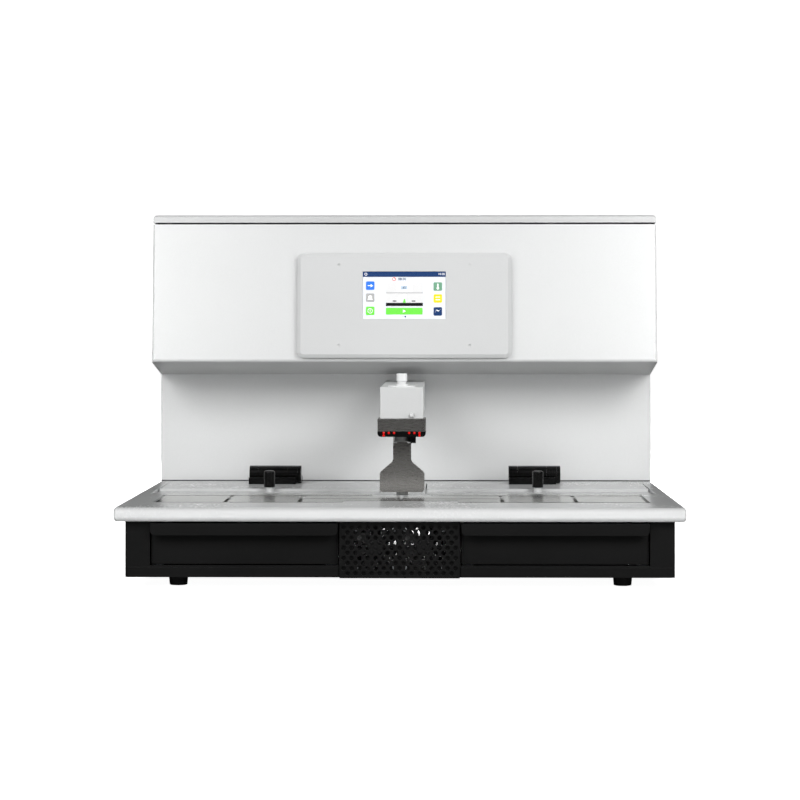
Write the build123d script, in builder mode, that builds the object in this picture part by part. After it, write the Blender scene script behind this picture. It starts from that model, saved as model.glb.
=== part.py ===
"""Tissue embedding station for a pathology bench, as an assembly of separate pieces.

Lengths are millimetres. +X is the operator's right, +Y the rear, +Z up. The origin lies on the
bench, under the middle of the whole box. "Depth" is always measured from the front edge of the
worktop towards the rear.
"""

from build123d import *
import os
from math import cos, radians, sin, tan

os.makedirs("parts", exist_ok=True)

# Overall form
WIDTH = 600.0
DEPTH = 640.0
WALL_DEPTH = 410.0
BROW_DEPTH = 318.0
WALL_HEIGHT = 130.6
BROW_RISE = 16.6
FACE_HEIGHT = 163.8
FACE_LEAN = 4.9

# Feet
FOOT_HEIGHT = 12.0
FOOT_RADIUS = 10.5
FOOT_TAPER = 5.0
FOOT_ROUND = 1.2
FOOT_INSET_X = 63.0
FOOT_INSET_Y = 50.0

# Base tray
BASE_HEIGHT = 59.0
BASE_INSET = 10.8
BASE_SETBACK = 12.0
BASE_WALL = 2.0
BASE_CORNER = 3.0
SILL_HEIGHT = 12.5
SILL_FOLD = 10.5
SILL_PROUD = 1.0
VENT_LENGTH = 26.0
VENT_HEIGHT = 4.0
VENT_PITCH_X = 36.0
VENT_PITCH_Z = 9.0

# Wax drawers
BAY_INNER = 64.0
BAY_WIDTH = 199.0
DRAWER_GAP = 1.0
DRAWER_SETBACK = 4.0
DRAWER_LENGTH = 160.0
DRAWER_FACE = 3.0
TRAY_WALL = 1.5
TRAY_SIDE_GAP = 4.0
TRAY_HEIGHT = 36.0
LIP_HEIGHT = 12.5
LIP_REACH = 11.0
LIP_WALL = 2.5
LIP_CORNER = 5.0
RUNNER_WIDTH = 10.0
RUNNER_HEIGHT = 13.7
RUNNER_GUIDE = 2.0
RUNNER_GUIDE_HEIGHT = 12.0
SLIDE_GAP = 0.3

# Front grille and fans
GRILLE_WIDTH = 126.4
GRILLE_DROP = 0.7
GRILLE_HEIGHT = 58.4
GRILLE_SHEET = 1.2
GRILLE_STAND = 2.5
GRILLE_CORNER = 1.5
HOLE_COLUMNS = 15
HOLE_ROWS = 10
HOLE_PITCH = 8.4
HOLE_ROW_PITCH = 5.35
HOLE_RADIUS = 2.5
FAN_SIZE = 50.0
FAN_DEPTH = 15.0
FAN_PITCH = 51.4
FAN_HEIGHT = 42.3
FAN_BORE = 23.2
FAN_CORNER = 3.0
FAN_SCREW_PITCH = 40.0
FAN_SCREW_RADIUS = 1.8
HUB_RADIUS = 8.5
HUB_LENGTH = 10.0
FAN_SPIDER = 2.5
FAN_STRUT = 3.5
BLADES = 7
BLADE_THICKNESS = 1.2
BLADE_GAP = 0.8
BLADE_ROOT_CHORD = 8.0
BLADE_TIP_CHORD = 13.0
BLADE_ROOT_PITCH = 48.0
BLADE_TIP_PITCH = 28.0
SHAFT_RADIUS = 1.5
SHAFT_CLEARANCE = 0.05

# Worktop and what is let into it
WORKTOP_THICKNESS = 15.0
BULLNOSE = 7.0
WORKTOP_END_ROUND = 3.0
PLATE_FRONT = 76.0
PLATE_DEPTH = 90.0
PLATE_THICKNESS = 7.0
PLATE_GAP = 4.0
CENTRE_PLATE = 108.0
INNER_PLATE = 76.0
OUTER_PLATE = 73.0
CENTRE_SETBACK = 19.0
CENTRE_NOTCH = 62.0
GROOVE_DEPTH_AT = 122.0
GROOVE_WIDTH = 4.0
GROOVE_DEPTH = 2.0
HEATER_THICKNESS = 6.0
LEDGE = 8.0
RAIL_WIDTH = 24.5
RAIL_THICKNESS = 1.5
RAIL_GAP = 1.0
RAIL_INNER = 34.0
CABLE_HOLE_WIDTH = 120.0
CABLE_HOLE_DEPTH = 90.0
CABLE_HOLE_BEHIND_WALL = 40.0

# Cooling
SINK_WIDTH = 108.0
SINK_LENGTH = 118.0
SINK_AT = 34.0
SINK_PLATE = 8.0
FIN_LENGTH = 43.0
FIN_THICKNESS = 1.5
FIN_PITCH = 6.2
FINS = 18
MODULE_SIZE = 40.0
MODULE_THICKNESS = 3.8
MODULE_OFFSET = 30.0

# Wells and their lids
TONGUE_HALF = 25.5
WELL_WIDTH = 261.0
WELL_FRONT = 198.0
WELL_LENGTH = 166.0
WELL_LEDGE = 4.5
WELL_LEDGE_DROP = 6.0
WELL_DROP = 50.0
WELL_SHEET = 1.5
WELL_FLANGE = 1.2
WELL_CORNER = 8.0
WELL_CLEARANCE = 0.5
MAT_THICKNESS = 2.5
MAT_MARGIN = 16.0
LID_GAP = 1.6
LID_SHEET = 1.5
LID_STEP_AT = 273.0
LID_STEP = 3.0
KNOB_AT = 266.0
KNOB_RADIUS = 6.4
KNOB_HEIGHT = 19.0
KNOB_ROUND = 2.0
STUD_RADIUS = 4.7
STUD_HEIGHT = 5.5
STUD_THREAD_RADIUS = 2.5
STUD_THREAD_LENGTH = 12.0

# Barrel hinges of the well lids
HINGE_LENGTH = 62.0
HINGE_RADIUS = 10.2
HINGE_BEHIND_WELL = 2.0
HINGE_LIFT = 0.8
HINGE_PIN_RADIUS = 2.5
HINGE_PIN_CLEARANCE = 0.05
CHEEK_WIDTH = 4.0
CHEEK_GAP = 1.7
KNUCKLE_WIDTH = 10.5
KNUCKLE_GAP = 0.4
LEAF_REACH = 20.0
LEAF_HEIGHT = 8.0
LEAF_CLEARANCE = 0.6
HINGE_FOOT_REACH = 30.0
HINGE_FOOT_HEIGHT = 5.0

# Cabinet
CABINET_SHEET = 3.0
CABINET_ROUND = 4.0
BACK_PANEL = 3.0
BACK_RECESS = 5.0
LOUVRE_LENGTH = 60.0
LOUVRE_HEIGHT = 3.5
LOUVRE_PITCH = 9.0
LOUVRES = 8
LOUVRE_OFFSET = 150.0
LOUVRE_CENTRE = 290.0
SHELF_DROP = 12.0
SHELF_THICKNESS = 2.0

# Top lid
TOP_GAP = 2.0
TOP_THICKNESS = 9.0
TOP_SKIN = 3.0
TOP_ROUND = 4.5
COVER_DEPTH = 48.0
COVER_GAP = 2.0
BUMPER_LENGTH = 20.0
TOP_HINGE_X = 180.0
TOP_HINGE_WIDTH = 50.0
TOP_KNUCKLE = 20.0
TOP_KNUCKLE_RADIUS = 2.6
TOP_PIN_RADIUS = 1.3
TOP_PIN_CLEARANCE = 0.05
TOP_HINGE_RISE = 0.6
TOP_LEAF = 1.5
TOP_LEAF_REACH = 22.0
TOP_NOTCH_CLEARANCE = 0.7

# Paraffin tank
TANK_WIDTH = 280.0
TANK_LENGTH = 170.0
TANK_HEIGHT = 120.0
TANK_BEHIND_BROW = 34.0
TANK_SHEET = 1.5
TANK_FLANGE = 12.0
TANK_CORNER = 20.0
TANK_BOTTOM_ROUND = 8.0
TANK_CLEARANCE = 1.0
TANK_HEATER_THICKNESS = 2.5
TANK_HEATER_HEIGHT = 60.0
TANK_HEATER_ABOVE = 20.0
HEATER_CLEARANCE = 0.3
OUTLET_IN_TANK = 96.0
OUTLET_RADIUS = 9.0
OUTLET_LENGTH = 8.0
VALVE_SIZE = 34.0
VALVE_HEIGHT = 30.0
COIL_RADIUS = 15.0
COIL_LENGTH = 30.0
PIPE_RADIUS = 5.0
PIPE_BORE = 3.0
PIPE_BEND = 16.0

# Control panel
PANEL_WIDTH = 254.0
PANEL_HEIGHT = 124.5
PANEL_THICKNESS = 7.0
PANEL_CORNER = 7.5
PANEL_BEVEL = 4.0
PANEL_BEVEL_DEPTH = 2.5
PANEL_ABOVE_BROW = 66.6
SCREEN_WIDTH = 99.0
SCREEN_HEIGHT = 56.6
SCREEN_RAISE = 12.0
SCREEN_RECESS = 1.5
SCREEN_CLEARANCE = 0.2
SCREEN_BODY_MARGIN = 2.0
SCREEN_BODY_DEPTH = 12.0
DIMPLE_X = 77.6
DIMPLE_Z = 47.9
DIMPLE_RADIUS = 1.6
DIMPLE_DEPTH = 1.2

# Dispenser arm
ARM_WIDTH = 48.0
ARM_HEIGHT = 35.0
ARM_FRONT = 139.0
ARM_LIFT = 87.2
ARM_SHEET = 2.0
ARM_EDGE = 2.0
ARM_FLANGE = 10.0
ARM_CLEARANCE = 0.3
NOZZLE_AT = 155.0
COLLAR_RADIUS = 8.9
COLLAR_HEIGHT = 5.9
TUBE_RADIUS = 4.0
TUBE_BORE = 2.0
TUBE_CLEARANCE = 0.5
TUBE_REACH = 6.0
FLANGE_RADIUS = 15.25
FLANGE_THICKNESS = 1.5
BOSS_RADIUS = 6.5
BOSS_HEIGHT = 1.8
NECK_RADIUS = 4.8
NECK_HEIGHT = 2.5
FLOW_KNOB_RADIUS = 5.9
FLOW_KNOB_HEIGHT = 9.2
FLOW_KNOB_ROUND = 1.2
STEM_RADIUS = 2.5
STEM_LENGTH = 12.0
STEM_CLEARANCE = 0.05
BUTTON_X = 11.0
BUTTON_LIFT = 4.0
BUTTON_RADIUS = 2.9
BUTTON_OUT = 2.6
BUTTON_CLEARANCE = 0.05
BUTTON_FLANGE = 0.9
BUTTON_TAIL = 4.0
BUTTON_ROOM = 2.5

# Lamp and paddle under the arm
LAMP_WIDTH = 53.4
LAMP_PROUD = 6.0
LAMP_LENGTH = 49.0
BRACKET_HEIGHT = 13.6
BRACKET_CORNER = 2.0
LAMP_HEIGHT = 6.0
LAMP_CORNER = 4.0
LED_RADIUS = 1.35
LED_PROUD = 1.0
LED_SEAT = 3.0
LED_CLEARANCE = 0.05
LED_SPOTS = ((8.35, 4.35), (14.1, 4.35), (19.8, 4.35), (19.8, 1.5))
PADDLE_AT = 168.0
PADDLE_SHEET = 2.0
PADDLE_PIN_DROP = 4.6
PADDLE_BARREL = 3.4
PADDLE_PIN_RADIUS = 1.5
PADDLE_PIN_CLEARANCE = 0.05
NECK_HALF = 10.1
NECK_LENGTH = 24.2
SHOULDER_LENGTH = 12.6
BLADE_HALF = 25.0
BLADE_LENGTH = 19.5
PADDLE_TOE_LENGTH = 2.7
PADDLE_TOE_INSET = 2.7
SHOULDER_ROUND = 6.0
LUG_WIDTH = 3.0
LUG_INSET = 0.3
LUG_GAP = 0.5
LUG_LENGTH = 10.0
SWITCH_X = 9.6
SWITCH_WIDTH = 6.0
SWITCH_LENGTH = 20.0
SWITCH_HEIGHT = 7.4
SWITCH_AHEAD = 3.0
STOP_WIDTH = 13.2
STOP_LENGTH = 9.0
STOP_HEIGHT = 3.0
STOP_BEHIND = 13.0

# Electrics
BOARD_WIDTH = 160.0
BOARD_HEIGHT = 100.0
BOARD_THICKNESS = 1.6
BOARD_STANDOFF = 8.0
BOARD_Z = 250.0
STANDOFF_RADIUS = 3.0
# Across, up, width, height and reach of the relays, terminals, two capacitors and controller
BOARD_PARTS = (
    (-48, -28, 44, 18, 12),
    (20, -32, 60, 12, 10),
    (-52, 22, 24, 24, 15),
    (-20, 22, 24, 24, 15),
    (34, 18, 20, 20, 3),
)
SUPPLY_WIDTH = 160.0
SUPPLY_LENGTH = 98.0
SUPPLY_HEIGHT = 38.0
SUPPLY_FROM_SIDE = 120.0
SUPPLY_FROM_BACK = 44.0
ENTRY_FROM_SIDE = 80.0
ENTRY_Z = 140.0
ENTRY_WIDTH = 44.0
ENTRY_HEIGHT = 62.0
ENTRY_FLANGE = 2.0
ENTRY_BODY = 26.0
ENTRY_BODY_WIDTH = 30.0
ENTRY_BODY_HEIGHT = 50.0
SOCKET_WIDTH = 24.5
SOCKET_HEIGHT = 17.0
SOCKET_DROP = 13.0
SOCKET_DEPTH = 16.0
PRONG_LENGTH = 11.0
ROCKER_WIDTH = 22.0
ROCKER_HEIGHT = 14.0
ROCKER_RAISE = 14.0
ROCKER_CLEARANCE = 1.1
ROCKER_TILT = 9.0
ROCKER_PIVOT_IN = 3.0
ROCKER_REACH = 4.8
ROCKER_DISH = 1.2
ROCKER_HUB = 2.0

# Worked out from the sizes above
half_width = WIDTH / 2
entry_x = half_width - ENTRY_FROM_SIDE
cable_hole = WALL_DEPTH + CABLE_HOLE_BEHIND_WALL
base_z = FOOT_HEIGHT
base_top = base_z + BASE_HEIGHT
worktop_z = base_top + WORKTOP_THICKNESS
wall_top = worktop_z + WALL_HEIGHT
brow_z = wall_top + BROW_RISE
cabinet_top = brow_z + FACE_HEIGHT
lid_z = cabinet_top + TOP_GAP
lid_top = lid_z + TOP_THICKNESS
face_slope = tan(radians(FACE_LEAN))
face_top_depth = BROW_DEPTH + FACE_HEIGHT * face_slope


def y_at(depth):
    """Y of a point at a depth behind the worktop's front edge."""
    return depth - DEPTH / 2


def facing(depth):
    """Plane that faces the operator, with the world's X and Z as its own x and y."""
    return Plane(origin=(0, y_at(depth), 0), x_dir=(1, 0, 0), z_dir=(0, -1, 0))


def block(xs, depths, heights, mode=Mode.ADD):
    """Add or cut a plain block between two X values, two depths and two heights."""
    with BuildSketch(Plane.XY.offset(heights[0])) as outline:
        with Locations(((xs[0] + xs[1]) / 2, y_at((depths[0] + depths[1]) / 2))):
            Rectangle(abs(xs[1] - xs[0]), depths[1] - depths[0])
    extrude(outline.sketch, amount=heights[1] - heights[0], mode=mode)


def ring(xs, centre, radius, mode=Mode.ADD):
    """Add or cut a cylinder along X, between two X values, about a (depth, height) centre."""
    with BuildSketch(Plane.YZ.offset(xs[0])) as outline:
        with Locations((y_at(centre[0]), centre[1])):
            Circle(radius)
    extrude(outline.sketch, amount=xs[1] - xs[0], mode=mode)


def side_view(xs, points, mode=Mode.ADD):
    """Add or cut a prism along X whose outline is given as (depth, height) points."""
    with BuildSketch(Plane.YZ.offset(xs[0])) as outline:
        with BuildLine():
            Polyline(*[(y_at(depth), height) for depth, height in points], close=True)
        make_face()
    extrude(outline.sketch, amount=xs[1] - xs[0], mode=mode)


def disc(centre, heights, radius, mode=Mode.ADD):
    """Add or cut an upright cylinder about an (x, depth) centre."""
    with BuildSketch(Plane.XY.offset(heights[0])) as outline:
        with Locations((centre[0], y_at(centre[1]))):
            Circle(radius)
    extrude(outline.sketch, amount=heights[1] - heights[0], mode=mode)


def across(side, near, far):
    """The two X values of something between two distances from the middle, on one side."""
    return (min(side * near, side * far), max(side * near, side * far))


HANDS = ((-1, "left"), (1, "right"))

# Feet: four turned rubber feet, narrower at the floor
foot_x = half_width - FOOT_INSET_X
foot_y = DEPTH / 2 - FOOT_INSET_Y
with BuildPart() as feet:
    with BuildSketch(Plane.XY.offset(FOOT_HEIGHT)):
        with GridLocations(2 * foot_x, 2 * foot_y, 2, 2):
            Circle(FOOT_RADIUS)
    extrude(amount=-FOOT_HEIGHT, taper=FOOT_TAPER)
    fillet(feet.edges().group_by(Axis.Z)[0], FOOT_ROUND)
feet.part.label = "feet"
export_step(feet.part, "parts/feet.step")

# Base tray: folded sheet, open at the top, with two drawer bays and a fan opening
base_half = half_width - BASE_INSET
base_front = BASE_SETBACK
base_rear = DEPTH - BASE_SETBACK
bay_outer = BAY_INNER + BAY_WIDTH
sill_top = base_z + SILL_HEIGHT
with BuildPart() as base_tray:
    block((-base_half, base_half), (base_front, base_rear), (base_z, base_top))
    fillet(base_tray.edges().filter_by(Axis.Z), BASE_CORNER)
    for side, hand in HANDS:
        block(
            across(side, GRILLE_WIDTH / 2 + SILL_PROUD, base_half - BASE_CORNER),
            (base_front - SILL_PROUD, base_front),
            (base_z, base_z + SILL_FOLD),
        )
    block(
        (-base_half + BASE_WALL, base_half - BASE_WALL),
        (base_front + BASE_WALL, base_rear - BASE_WALL),
        (base_z + BASE_WALL, base_top),
        Mode.SUBTRACT,
    )
    for side, hand in HANDS:
        bay = across(side, BAY_INNER, bay_outer)
        block(bay, (base_front, base_front + BASE_WALL), (sill_top, base_top), Mode.SUBTRACT)
    with BuildSketch(facing(base_front)):
        with Locations((-FAN_PITCH / 2, FAN_HEIGHT), (FAN_PITCH / 2, FAN_HEIGHT)):
            Circle(FAN_BORE)
    extrude(amount=-BASE_WALL, mode=Mode.SUBTRACT)
    with BuildSketch(facing(base_rear)):
        with Locations((0, base_z + BASE_HEIGHT / 2)):
            with GridLocations(VENT_PITCH_X, VENT_PITCH_Z, 6, 4):
                SlotOverall(VENT_LENGTH, VENT_HEIGHT)
    extrude(amount=BASE_WALL, mode=Mode.SUBTRACT)
base_tray.part.label = "base_tray"
export_step(base_tray.part, "parts/base_tray.step")

# Wax drawers and their runners
floor_z = base_z + BASE_WALL
tray_z = floor_z + RUNNER_HEIGHT + SLIDE_GAP
face_depth = base_front + DRAWER_SETBACK
tray_rear = face_depth + DRAWER_LENGTH
tray_inner = BAY_INNER + TRAY_SIDE_GAP
tray_outer = bay_outer - TRAY_SIDE_GAP
face_top = base_top - 2 * DRAWER_GAP
for side, hand in HANDS:
    face_xs = across(side, BAY_INNER + DRAWER_GAP, bay_outer - DRAWER_GAP)
    tray_xs = across(side, tray_inner, tray_outer)
    lip_front = face_depth - LIP_REACH
    with BuildPart() as drawer:
        block(tray_xs, (face_depth, tray_rear), (tray_z, tray_z + TRAY_HEIGHT))
        fillet(drawer.edges().filter_by(Axis.Z).sort_by(Axis.Y)[-2:], 2 * TRAY_WALL)
        block(
            (tray_xs[0] + TRAY_WALL, tray_xs[1] - TRAY_WALL),
            (face_depth, tray_rear - TRAY_WALL),
            (tray_z + TRAY_WALL, tray_z + TRAY_HEIGHT),
            Mode.SUBTRACT,
        )
        block(face_xs, (face_depth, face_depth + DRAWER_FACE), (sill_top + DRAWER_GAP, face_top))
        block(face_xs, (lip_front, face_depth), (face_top - LIP_WALL, face_top))
        with BuildSketch(facing(lip_front)):
            with Locations(((face_xs[0] + face_xs[1]) / 2, face_top - LIP_HEIGHT / 2)):
                lip = Rectangle(face_xs[1] - face_xs[0], LIP_HEIGHT)
            fillet(lip.vertices().group_by(Axis.Y)[0], LIP_CORNER)
        extrude(amount=-LIP_WALL)
    drawer.part.label = f"{hand}_drawer"
    export_step(drawer.part, f"parts/{hand}_drawer.step")

with BuildPart() as drawer_runners:
    for side, hand in HANDS:
        for edge, inward in ((tray_inner, 1), (tray_outer, -1)):
            guide = edge - inward * (SLIDE_GAP + RUNNER_GUIDE)
            reach = edge + inward * RUNNER_WIDTH
            runner_depths = (face_depth + DRAWER_FACE + DRAWER_GAP, tray_rear + RUNNER_WIDTH)
            rest_z = floor_z + RUNNER_HEIGHT
            guide_xs = across(side, guide, edge - inward * SLIDE_GAP)
            block(across(side, guide, reach), runner_depths, (floor_z, rest_z))
            block(guide_xs, runner_depths, (rest_z, rest_z + RUNNER_GUIDE_HEIGHT))
drawer_runners.part.label = "drawer_runners"
export_step(drawer_runners.part, "parts/drawer_runners.step")

# Front grille: a shallow pan with staggered perforations in even rows
grille_z = base_z - GRILLE_DROP
grille_mid = grille_z + GRILLE_HEIGHT / 2
grille_front = base_front - GRILLE_STAND
perforations = []
for row in range(HOLE_ROWS):
    columns = HOLE_COLUMNS - row % 2
    row_z = grille_mid + ((HOLE_ROWS - 1) / 2 - row) * HOLE_ROW_PITCH
    for column in range(columns):
        perforations.append(((column - (columns - 1) / 2) * HOLE_PITCH, row_z))
with BuildPart() as front_grille:
    with BuildSketch(facing(grille_front)):
        with Locations((0, grille_mid)):
            RectangleRounded(GRILLE_WIDTH, GRILLE_HEIGHT, GRILLE_CORNER)
        with Locations(*perforations):
            RegularPolygon(HOLE_RADIUS, 8, mode=Mode.SUBTRACT)
    extrude(amount=-GRILLE_SHEET)
    with BuildSketch(facing(grille_front + GRILLE_SHEET)):
        with Locations((0, grille_mid)):
            RectangleRounded(GRILLE_WIDTH, GRILLE_HEIGHT, GRILLE_CORNER)
            Rectangle(
                GRILLE_WIDTH - 2 * GRILLE_SHEET, GRILLE_HEIGHT - 2 * GRILLE_SHEET, mode=Mode.SUBTRACT
            )
    extrude(amount=GRILLE_SHEET - GRILLE_STAND)
front_grille.part.label = "front_grille"
export_step(front_grille.part, "parts/front_grille.step")

# Fans: a square frame with a three-arm spider at the rear, and a rotor with pitched blades
fan_front = base_front + BASE_WALL
fan_rear = fan_front + FAN_DEPTH
rotor_front = fan_rear - FAN_SPIDER - BLADE_GAP - HUB_LENGTH
with BuildPart() as fan_housings:
    for side, hand in HANDS:
        hub = (side * FAN_PITCH / 2, FAN_HEIGHT)
        with BuildSketch(facing(fan_front)):
            with Locations(hub):
                RectangleRounded(FAN_SIZE, FAN_SIZE, FAN_CORNER)
                Circle(FAN_BORE, mode=Mode.SUBTRACT)
                with GridLocations(FAN_SCREW_PITCH, FAN_SCREW_PITCH, 2, 2):
                    RegularPolygon(FAN_SCREW_RADIUS, 8, mode=Mode.SUBTRACT)
        extrude(amount=-FAN_DEPTH)
        with BuildSketch(facing(fan_rear - FAN_SPIDER)):
            with Locations(hub):
                Circle(HUB_RADIUS)
                with PolarLocations((HUB_RADIUS + FAN_BORE) / 2, 3):
                    Rectangle(FAN_BORE - HUB_RADIUS + 1, FAN_STRUT)
        extrude(amount=-FAN_SPIDER)
        with BuildSketch(facing(rotor_front + HUB_LENGTH / 2)):
            with Locations(hub):
                Circle(SHAFT_RADIUS)
        extrude(amount=-(fan_rear - FAN_SPIDER - rotor_front - HUB_LENGTH / 2))
fan_housings.part.label = "fan_housings"
export_step(fan_housings.part, "parts/fan_housings.step")

blade_tip = FAN_BORE - BLADE_GAP
for side, hand in HANDS:
    hub_x = side * FAN_PITCH / 2
    with BuildPart() as fan_rotor:
        with BuildSketch(facing(rotor_front)):
            with Locations((hub_x, FAN_HEIGHT)):
                Circle(HUB_RADIUS)
        extrude(amount=-HUB_LENGTH)
        fillet(fan_rotor.edges().sort_by(Axis.Y)[0], 1)
        for turn in range(BLADES):
            angle = radians(360 * turn / BLADES + 90)
            outward = Vector(cos(angle), 0, sin(angle))
            along = Vector(-sin(angle), 0, cos(angle))
            for reach, chord, pitch in (
                (HUB_RADIUS - 1, BLADE_ROOT_CHORD, BLADE_ROOT_PITCH),
                (blade_tip, BLADE_TIP_CHORD, BLADE_TIP_PITCH),
            ):
                centre = Vector(hub_x, y_at(rotor_front + HUB_LENGTH / 2), FAN_HEIGHT)
                with BuildSketch(Plane(centre + outward * reach, x_dir=along, z_dir=outward)):
                    Rectangle(chord, BLADE_THICKNESS, rotation=pitch)
            loft()
        with BuildSketch(facing(rotor_front + HUB_LENGTH)):
            with Locations((hub_x, FAN_HEIGHT)):
                Circle(SHAFT_RADIUS + SHAFT_CLEARANCE)
        extrude(amount=HUB_LENGTH / 2 + BLADE_GAP, mode=Mode.SUBTRACT)
    fan_rotor.part.label = f"{hand}_fan_rotor"
    export_step(fan_rotor.part, f"parts/{hand}_fan_rotor.step")

# Heat sink under the centre plates, with a thermoelectric module for each plate
sink_depths = (SINK_AT, SINK_AT + SINK_LENGTH)
with BuildPart() as heat_sink:
    block((-SINK_WIDTH / 2, SINK_WIDTH / 2), sink_depths, (base_top - SINK_PLATE, base_top))
    with BuildSketch(Plane.XY.offset(base_top - SINK_PLATE)):
        with Locations((0, y_at(SINK_AT + SINK_LENGTH / 2))):
            with GridLocations(FIN_PITCH, 1, FINS, 1):
                Rectangle(FIN_THICKNESS, SINK_LENGTH)
    extrude(amount=-FIN_LENGTH)
heat_sink.part.label = "heat_sink"
export_step(heat_sink.part, "parts/heat_sink.step")

plate_z = worktop_z - PLATE_THICKNESS
plate_rear = PLATE_FRONT + PLATE_DEPTH
module_middle = (PLATE_FRONT + CENTRE_SETBACK + plate_rear) / 2
with BuildPart() as cooling_modules:
    with BuildSketch(Plane.XY.offset(base_top)):
        with Locations((0, y_at(module_middle))):
            with GridLocations(2 * MODULE_OFFSET, 1, 2, 1):
                Rectangle(MODULE_SIZE, MODULE_SIZE)
    extrude(amount=MODULE_THICKNESS)
cooling_modules.part.label = "cooling_modules"
export_step(cooling_modules.part, "parts/cooling_modules.step")

# Worktop: a bull-nosed slab with a stepped opening for the plates and one for each well
opening_half = CENTRE_PLATE + INNER_PLATE + OUTER_PLATE + 3 * PLATE_GAP
opening_front = PLATE_FRONT - PLATE_GAP
opening_rear = plate_rear + PLATE_GAP
centre_front = PLATE_FRONT + CENTRE_SETBACK
ledge_z = plate_z - HEATER_THICKNESS
well_outer = TONGUE_HALF + WELL_WIDTH
well_rear = WELL_FRONT + WELL_LENGTH
well_ledge_z = worktop_z - WELL_LEDGE_DROP
rail_z = worktop_z - RAIL_THICKNESS
with BuildPart() as worktop:
    with BuildSketch(Plane.YZ.offset(-half_width)):
        with Locations((0, base_top + WORKTOP_THICKNESS / 2)):
            profile = Rectangle(DEPTH, WORKTOP_THICKNESS)
        fillet(profile.vertices().group_by(Axis.X)[0], BULLNOSE)
    extrude(amount=WIDTH)
    ends = worktop.faces().filter_by(Axis.X)
    fillet(ends.edges(), WORKTOP_END_ROUND)
    upper = (ledge_z, worktop_z)
    lower = (base_top, ledge_z)
    for side, hand in HANDS:
        outer_xs = across(side, CENTRE_NOTCH, opening_half)
        block(outer_xs, (opening_front, opening_rear), upper, Mode.SUBTRACT)
        block(
            across(side, CENTRE_NOTCH + LEDGE, opening_half - LEDGE),
            (opening_front + LEDGE, opening_rear - LEDGE),
            lower,
            Mode.SUBTRACT,
        )
        rail_xs = across(side, RAIL_INNER - RAIL_GAP, opening_half)
        block(rail_xs, (opening_rear, WELL_FRONT), (rail_z, worktop_z), Mode.SUBTRACT)
        well_xs = across(side, TONGUE_HALF, well_outer)
        well_upper = (well_ledge_z, worktop_z)
        block(well_xs, (WELL_FRONT, well_rear), well_upper, Mode.SUBTRACT)
        block(
            across(side, TONGUE_HALF + WELL_LEDGE, well_outer - WELL_LEDGE),
            (WELL_FRONT + WELL_LEDGE, well_rear - WELL_LEDGE),
            (base_top, well_ledge_z),
            Mode.SUBTRACT,
        )
    notch_xs = (-CENTRE_NOTCH, CENTRE_NOTCH)
    block(notch_xs, (centre_front - PLATE_GAP, opening_rear), upper, Mode.SUBTRACT)
    block(
        (notch_xs[0] - LEDGE, notch_xs[1] + LEDGE),
        (centre_front - PLATE_GAP + LEDGE, opening_rear - LEDGE),
        lower,
        Mode.SUBTRACT,
    )
    block(
        (-CABLE_HOLE_WIDTH / 2, CABLE_HOLE_WIDTH / 2),
        (cable_hole, cable_hole + CABLE_HOLE_DEPTH),
        (base_top, worktop_z),
        Mode.SUBTRACT,
    )
worktop.part.label = "worktop"
export_step(worktop.part, "parts/worktop.step")

# Plates: two cooled ones with a cold block beneath, and four warm ones on their heaters
inner_x = CENTRE_PLATE + PLATE_GAP
outer_x = inner_x + INNER_PLATE + PLATE_GAP
plate_edges = (outer_x, outer_x + OUTER_PLATE)
with BuildPart() as cooling_plates:
    for side, hand in HANDS:
        block(
            across(side, PLATE_GAP / 2, CENTRE_NOTCH),
            (centre_front, plate_rear),
            (plate_z, worktop_z),
        )
        block(
            across(side, CENTRE_NOTCH, CENTRE_PLATE),
            (PLATE_FRONT, plate_rear),
            (plate_z, worktop_z),
        )
        plate_xs = across(side, PLATE_GAP / 2, CENTRE_PLATE)
        groove = (GROOVE_DEPTH_AT, GROOVE_DEPTH_AT + GROOVE_WIDTH)
        block(plate_xs, groove, (worktop_z - GROOVE_DEPTH, worktop_z), Mode.SUBTRACT)
        block(plate_xs, (plate_rear - LEDGE, plate_rear), (ledge_z, plate_z))
        front_lug = across(side, CENTRE_NOTCH + PLATE_GAP, CENTRE_PLATE)
        block(front_lug, (PLATE_FRONT, PLATE_FRONT + LEDGE), (ledge_z, plate_z))
        block(
            across(side, MODULE_OFFSET - MODULE_SIZE / 2, MODULE_OFFSET + MODULE_SIZE / 2),
            (module_middle - MODULE_SIZE / 2, module_middle + MODULE_SIZE / 2),
            (base_top + MODULE_THICKNESS, plate_z),
        )
cooling_plates.part.label = "cooling_plates"
export_step(cooling_plates.part, "parts/cooling_plates.step")

with BuildPart() as warm_plates:
    for side, hand in HANDS:
        for near, far in ((inner_x, inner_x + INNER_PLATE), plate_edges):
            block(across(side, near, far), (PLATE_FRONT, plate_rear), (plate_z, worktop_z))
warm_plates.part.label = "warm_plates"
export_step(warm_plates.part, "parts/warm_plates.step")

with BuildPart() as plate_heaters:
    for side, hand in HANDS:
        block(
            across(side, inner_x, plate_edges[1]), (PLATE_FRONT, plate_rear), (ledge_z, plate_z)
        )
        drain = across(side, outer_x - PLATE_GAP, outer_x)
        drain_depths = (PLATE_FRONT + LEDGE, plate_rear - LEDGE)
        block(drain, drain_depths, (ledge_z, plate_z), Mode.SUBTRACT)
plate_heaters.part.label = "plate_heaters"
export_step(plate_heaters.part, "parts/plate_heaters.step")

with BuildPart() as drip_rails:
    for side, hand in HANDS:
        rail_xs = across(side, RAIL_INNER, opening_half - RAIL_GAP)
        rail_depths = (opening_rear + RAIL_GAP, opening_rear + RAIL_GAP + RAIL_WIDTH)
        block(rail_xs, rail_depths, (rail_z, worktop_z))
drip_rails.part.label = "drip_rails"
export_step(drip_rails.part, "parts/drip_rails.step")

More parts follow.
